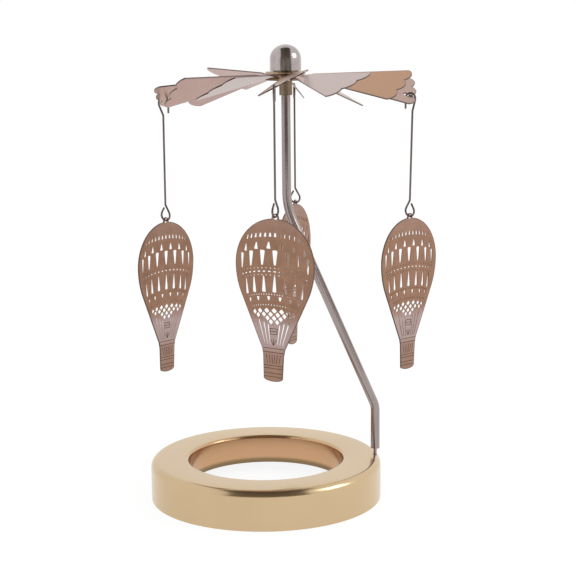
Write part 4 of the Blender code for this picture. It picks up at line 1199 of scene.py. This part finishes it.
class CAROUSEL_OT_pendants(bpy.types.Operator):
    """Builds the four pendants from sheet, with their cut-outs and etched lines"""
    bl_idname = "carousel.pendants"
    bl_label = "Pendants"

    def execute(self, context):
        scene = context.scene
        settings = scene.carousel_pendants
        half = settings.half_width
        brass = mottled_metal("pendant_brass", settings.colour)
        etched = mottled_metal("etched_brass", settings.colour)
        outline = balloon_outline(settings)
        eyelet = arc((0, 0), (EYELET_HOLE_RADIUS, EYELET_HOLE_RADIUS), 0.0, math.tau, EYELET_HOLE_STEPS)
        loops = [outline, eyelet[:-1]]
        for holes in (row_cutouts, fine_holes, net_holes, rope_slots):
            loops += [np.asarray(loop) for loop in holes(half)]
        flat, triangles = sheet_from_loops(loops, inset(outline, EDGE_BAND))
        points, faces = thick_sheet(flat, triangles, BALLOON_SHEET)
        lines, boxes = etched_lines(len(points))
        everywhere = np.concatenate([points, lines])
        # Painted dark reflection in a band round the outline
        edge = 1 - np.clip(rim_distance(flat, outline) / EDGE_BAND, 0, 1)
        marks = {
            "edge": [*edge, *edge, *np.zeros(len(lines))],
            "depth": np.clip(-(everywhere[:, 2] + EYELET_DROP) / settings.height, 0, 1),
        }
        tint(brass, "depth", settings.pale_colour, PALE_STOPS)
        tint(brass, "edge", settings.edge_reflection_colour)
        for index in range(BALLOON_COUNT):
            azimuth, reach, sheet_top = hanger_place(index, scene.carousel_rotor)
            wire = scene.carousel_wires.radius
            loop_foot = sheet_top + CLEARANCE + wire - WIRE_DROP * WIRE_DROP_SHARES[index]
            seat = EYELET_HOLE_RADIUS - wire - CLEARANCE
            out = reach + CROOK_RADIUS * LOOP_OFFSET_SHARES[index]
            across, along = out * math.cos(azimuth), out * math.sin(azimuth)
            place = Vector((axis_x(scene) + across, along, loop_foot - seat))
            turn = Matrix.Rotation(VIEW_AZIMUTH + BALLOON_TURNS[index], 3, "Z")
            rotation = np.array(turn @ Matrix.Rotation(BALLOON_LEANS[index], 3, "Y"))
            points = everywhere @ rotation.T + place
            sheet = new_piece(f"pendant_{index + 1}", points, faces + boxes, [brass, etched], marks)
            marked = np.zeros(len(sheet.data.polygons), dtype=np.int32)
            marked[len(faces):] = 1
            sheet.data.polygons.foreach_set("material_index", marked)
            finish_piece(sheet, f"balloon_{index + 1}", "balloon_brass", f"balloon_{index + 1}")
        return {"FINISHED"}


def light_paths(material_or_world):
    """How far a ray is one that shows the background: from the camera, a reflection or through glass."""
    nodes = material_or_world.node_tree.nodes
    rays = nodes.new("ShaderNodeLightPath")
    total = rays.outputs["Is Camera Ray"]
    for name in ("Is Glossy Ray", "Is Transmission Ray"):
        both = nodes.new("ShaderNodeMath")
        both.operation = "MAXIMUM"
        material_or_world.node_tree.links.new(total, both.inputs[0])
        material_or_world.node_tree.links.new(rays.outputs[name], both.inputs[1])
        total = both.outputs[0]
    return total


def flat_board(name, centre, size, facing):
    """A flat square board that faces a point."""
    centre = Vector(centre)
    turn = (Vector(facing) - centre).to_track_quat("Z", "Y").to_matrix()
    corners = [(-1, -1), (1, -1), (1, 1), (-1, 1)]
    points = [centre + turn @ Vector((x * size[0] / 2, y * size[1] / 2, 0)) for x, y in corners]
    mesh = bpy.data.meshes.new(name)
    mesh.from_pydata([tuple(point) for point in points], [], [(0, 1, 2, 3)])
    board = bpy.data.objects.new(name, mesh)
    bpy.context.scene.collection.objects.link(board)
    return board


def soft_light(name, centre, size, power, target):
    """A square lamp that faces a point."""
    lamp = bpy.data.lights.new(name, "AREA")
    lamp.energy = power
    lamp.size = size
    light = bpy.data.objects.new(name, lamp)
    light.location = centre
    light.rotation_euler = (Vector(target) - Vector(centre)).to_track_quat("-Z", "Y").to_euler()
    bpy.context.scene.collection.objects.link(light)


class CAROUSEL_OT_stage(bpy.types.Operator):
    """Sets the floor, the even sky, the lamp, the dark arch that metal reflects, and the camera"""
    bl_idname = "carousel.stage"
    bl_label = "Stage"

    def execute(self, context):
        scene = context.scene
        settings = scene.carousel_stage
        floor = flat_board("floor", (0, 0, 0), (settings.floor_size, settings.floor_size), (0, 0, 1))
        pale = bpy.data.materials.new("pale_floor")
        pale.use_nodes = True
        nodes = pale.node_tree.nodes
        nodes.clear()
        output = nodes.new("ShaderNodeOutputMaterial")
        both = nodes.new("ShaderNodeAddShader")
        matt = nodes.new("ShaderNodeBsdfDiffuse")
        glow = nodes.new("ShaderNodeEmission")
        matt.inputs["Color"].default_value = (*darker(settings.floor_colour, FLOOR_MATT_SHARE), 1.0)
        scale = nodes.new("ShaderNodeMath")
        scale.operation = "MULTIPLY"
        scale.inputs[1].default_value = FLOOR_GLOW
        link(pale, light_paths(pale), scale.inputs[0])
        link(pale, scale.outputs[0], glow.inputs["Strength"])
        link(pale, matt.outputs[0], both.inputs[0])
        link(pale, glow.outputs[0], both.inputs[1])
        link(pale, both.outputs[0], output.inputs["Surface"])
        floor.data.materials.append(pale)
        self.dark_arch()
        world = bpy.data.worlds.new("even_sky")
        world.use_nodes = True
        scene.world = world
        sky = world.node_tree.nodes["Background"]
        sky.inputs["Color"].default_value = (1.0, 1.0, 1.0, 1.0)
        strength = world.node_tree.nodes.new("ShaderNodeMapRange")
        strength.inputs["To Min"].default_value = settings.sky
        strength.inputs["To Max"].default_value = 1.0
        world.node_tree.links.new(light_paths(world), strength.inputs["Value"])
        world.node_tree.links.new(strength.outputs["Result"], sky.inputs["Strength"])
        soft_light("key_light", KEY_PLACE, KEY_SIZE, settings.key_power, STAGE_MIDDLE)
        self.camera(scene)
        scene.view_settings.view_transform = "Standard"
        return {"FINISHED"}

    def dark_arch(self):
        """A dark arch from the floor behind the camera to just past overhead, seen only in reflections.

        A point of it lies at ARCH_RADIUS, in the direction given by an angle along the arch, from the front
        up, and an angle to the side, whose limit shrinks along the arch.
        """
        along, across = np.meshgrid(
            np.linspace(0, 1, ARCH_ROWS), np.linspace(-1, 1, ARCH_COLUMNS), indexing="ij")
        angle = along * ARCH_SWEEP
        side = across * (ARCH_FRONT_HALF + along * (ARCH_BACK_HALF - ARCH_FRONT_HALF))
        directions = [np.sin(side), -np.cos(side) * np.cos(angle), np.cos(side) * np.sin(angle)]
        points = np.stack(directions, -1).reshape(-1, 3) * ARCH_RADIUS
        mesh = bpy.data.meshes.new("dark_arch")
        mesh.from_pydata(points.tolist(), [], grid_quads(*along.shape).tolist())
        dark = bpy.data.materials.new("dark_cloth")
        dark.use_nodes = True
        shader = dark.node_tree.nodes["Principled BSDF"]
        shader.inputs["Base Color"].default_value = (*ARCH_COLOUR, 1.0)
        shader.inputs["Roughness"].default_value = ARCH_ROUGHNESS
        mesh.materials.append(dark)
        arch = bpy.data.objects.new("dark_arch", mesh)
        bpy.context.scene.collection.objects.link(arch)
        arch.visible_camera = False
        arch.visible_diffuse = False
        arch.visible_shadow = False

    def camera(self, scene):
        """The camera's axes from its pitch, roll and turn, as fitted to the photograph."""
        x, y, z = CAMERA_PLACE
        cosine, sine = math.cos(VIEW_TURN), math.sin(VIEW_TURN)
        level_share, drop_share = math.cos(CAMERA_PITCH), math.sin(CAMERA_PITCH)
        ahead = Vector((sine * level_share, cosine * level_share, -drop_share))
        level = Vector((cosine, -sine, 0))
        upright = level.cross(ahead)
        right = level * math.cos(CAMERA_ROLL) + upright * math.sin(CAMERA_ROLL)
        up = upright * math.cos(CAMERA_ROLL) - level * math.sin(CAMERA_ROLL)
        pose = Matrix((right, up, -ahead)).transposed().to_4x4()
        pose.translation = Vector((x * cosine + y * sine, -x * sine + y * cosine, z))
        lens = bpy.data.cameras.new("camera")
        lens.sensor_width = SENSOR_WIDTH
        lens.lens = FOCAL_SHARE * SENSOR_WIDTH
        lens.clip_start = CLIP_START
        camera = bpy.data.objects.new("camera", lens)
        camera.matrix_world = pose
        scene.collection.objects.link(camera)
        scene.camera = camera


OPERATORS = (
    CAROUSEL_OT_ring, CAROUSEL_OT_rod, CAROUSEL_OT_hub, CAROUSEL_OT_rotor,
    CAROUSEL_OT_wires, CAROUSEL_OT_pendants, CAROUSEL_OT_stage,
)


class CAROUSEL_PT_panel(bpy.types.Panel):
    """Lists the settings and the steps"""
    bl_idname = "CAROUSEL_PT_panel"
    bl_label = "Carousel tealight holder"
    bl_space_type = "VIEW_3D"
    bl_region_type = "UI"
    bl_category = "Carousel"

    def draw(self, context):
        for name, group in SETTINGS.items():
            box = self.layout.box()
            settings = getattr(context.scene, name)
            for prop in group.__annotations__:
                box.prop(settings, prop)
        for operator in OPERATORS:
            self.layout.operator(operator.bl_idname)


def register():
    for name, group in SETTINGS.items():
        bpy.utils.register_class(group)
        setattr(bpy.types.Scene, name, bpy.props.PointerProperty(type=group))
    for entry in (*OPERATORS, CAROUSEL_PT_panel):
        bpy.utils.register_class(entry)


def unregister():
    for entry in reversed((*OPERATORS, CAROUSEL_PT_panel)):
        bpy.utils.unregister_class(entry)
    for name, group in SETTINGS.items():
        delattr(bpy.types.Scene, name)
        bpy.utils.unregister_class(group)


def main():
    register()
    bpy.ops.carousel.ring()
    bpy.ops.carousel.rod()
    bpy.ops.carousel.hub()
    bpy.ops.carousel.rotor()
    bpy.ops.carousel.wires()
    bpy.ops.carousel.pendants()
    bpy.ops.carousel.stage()


if __name__ == "__main__":
    main()
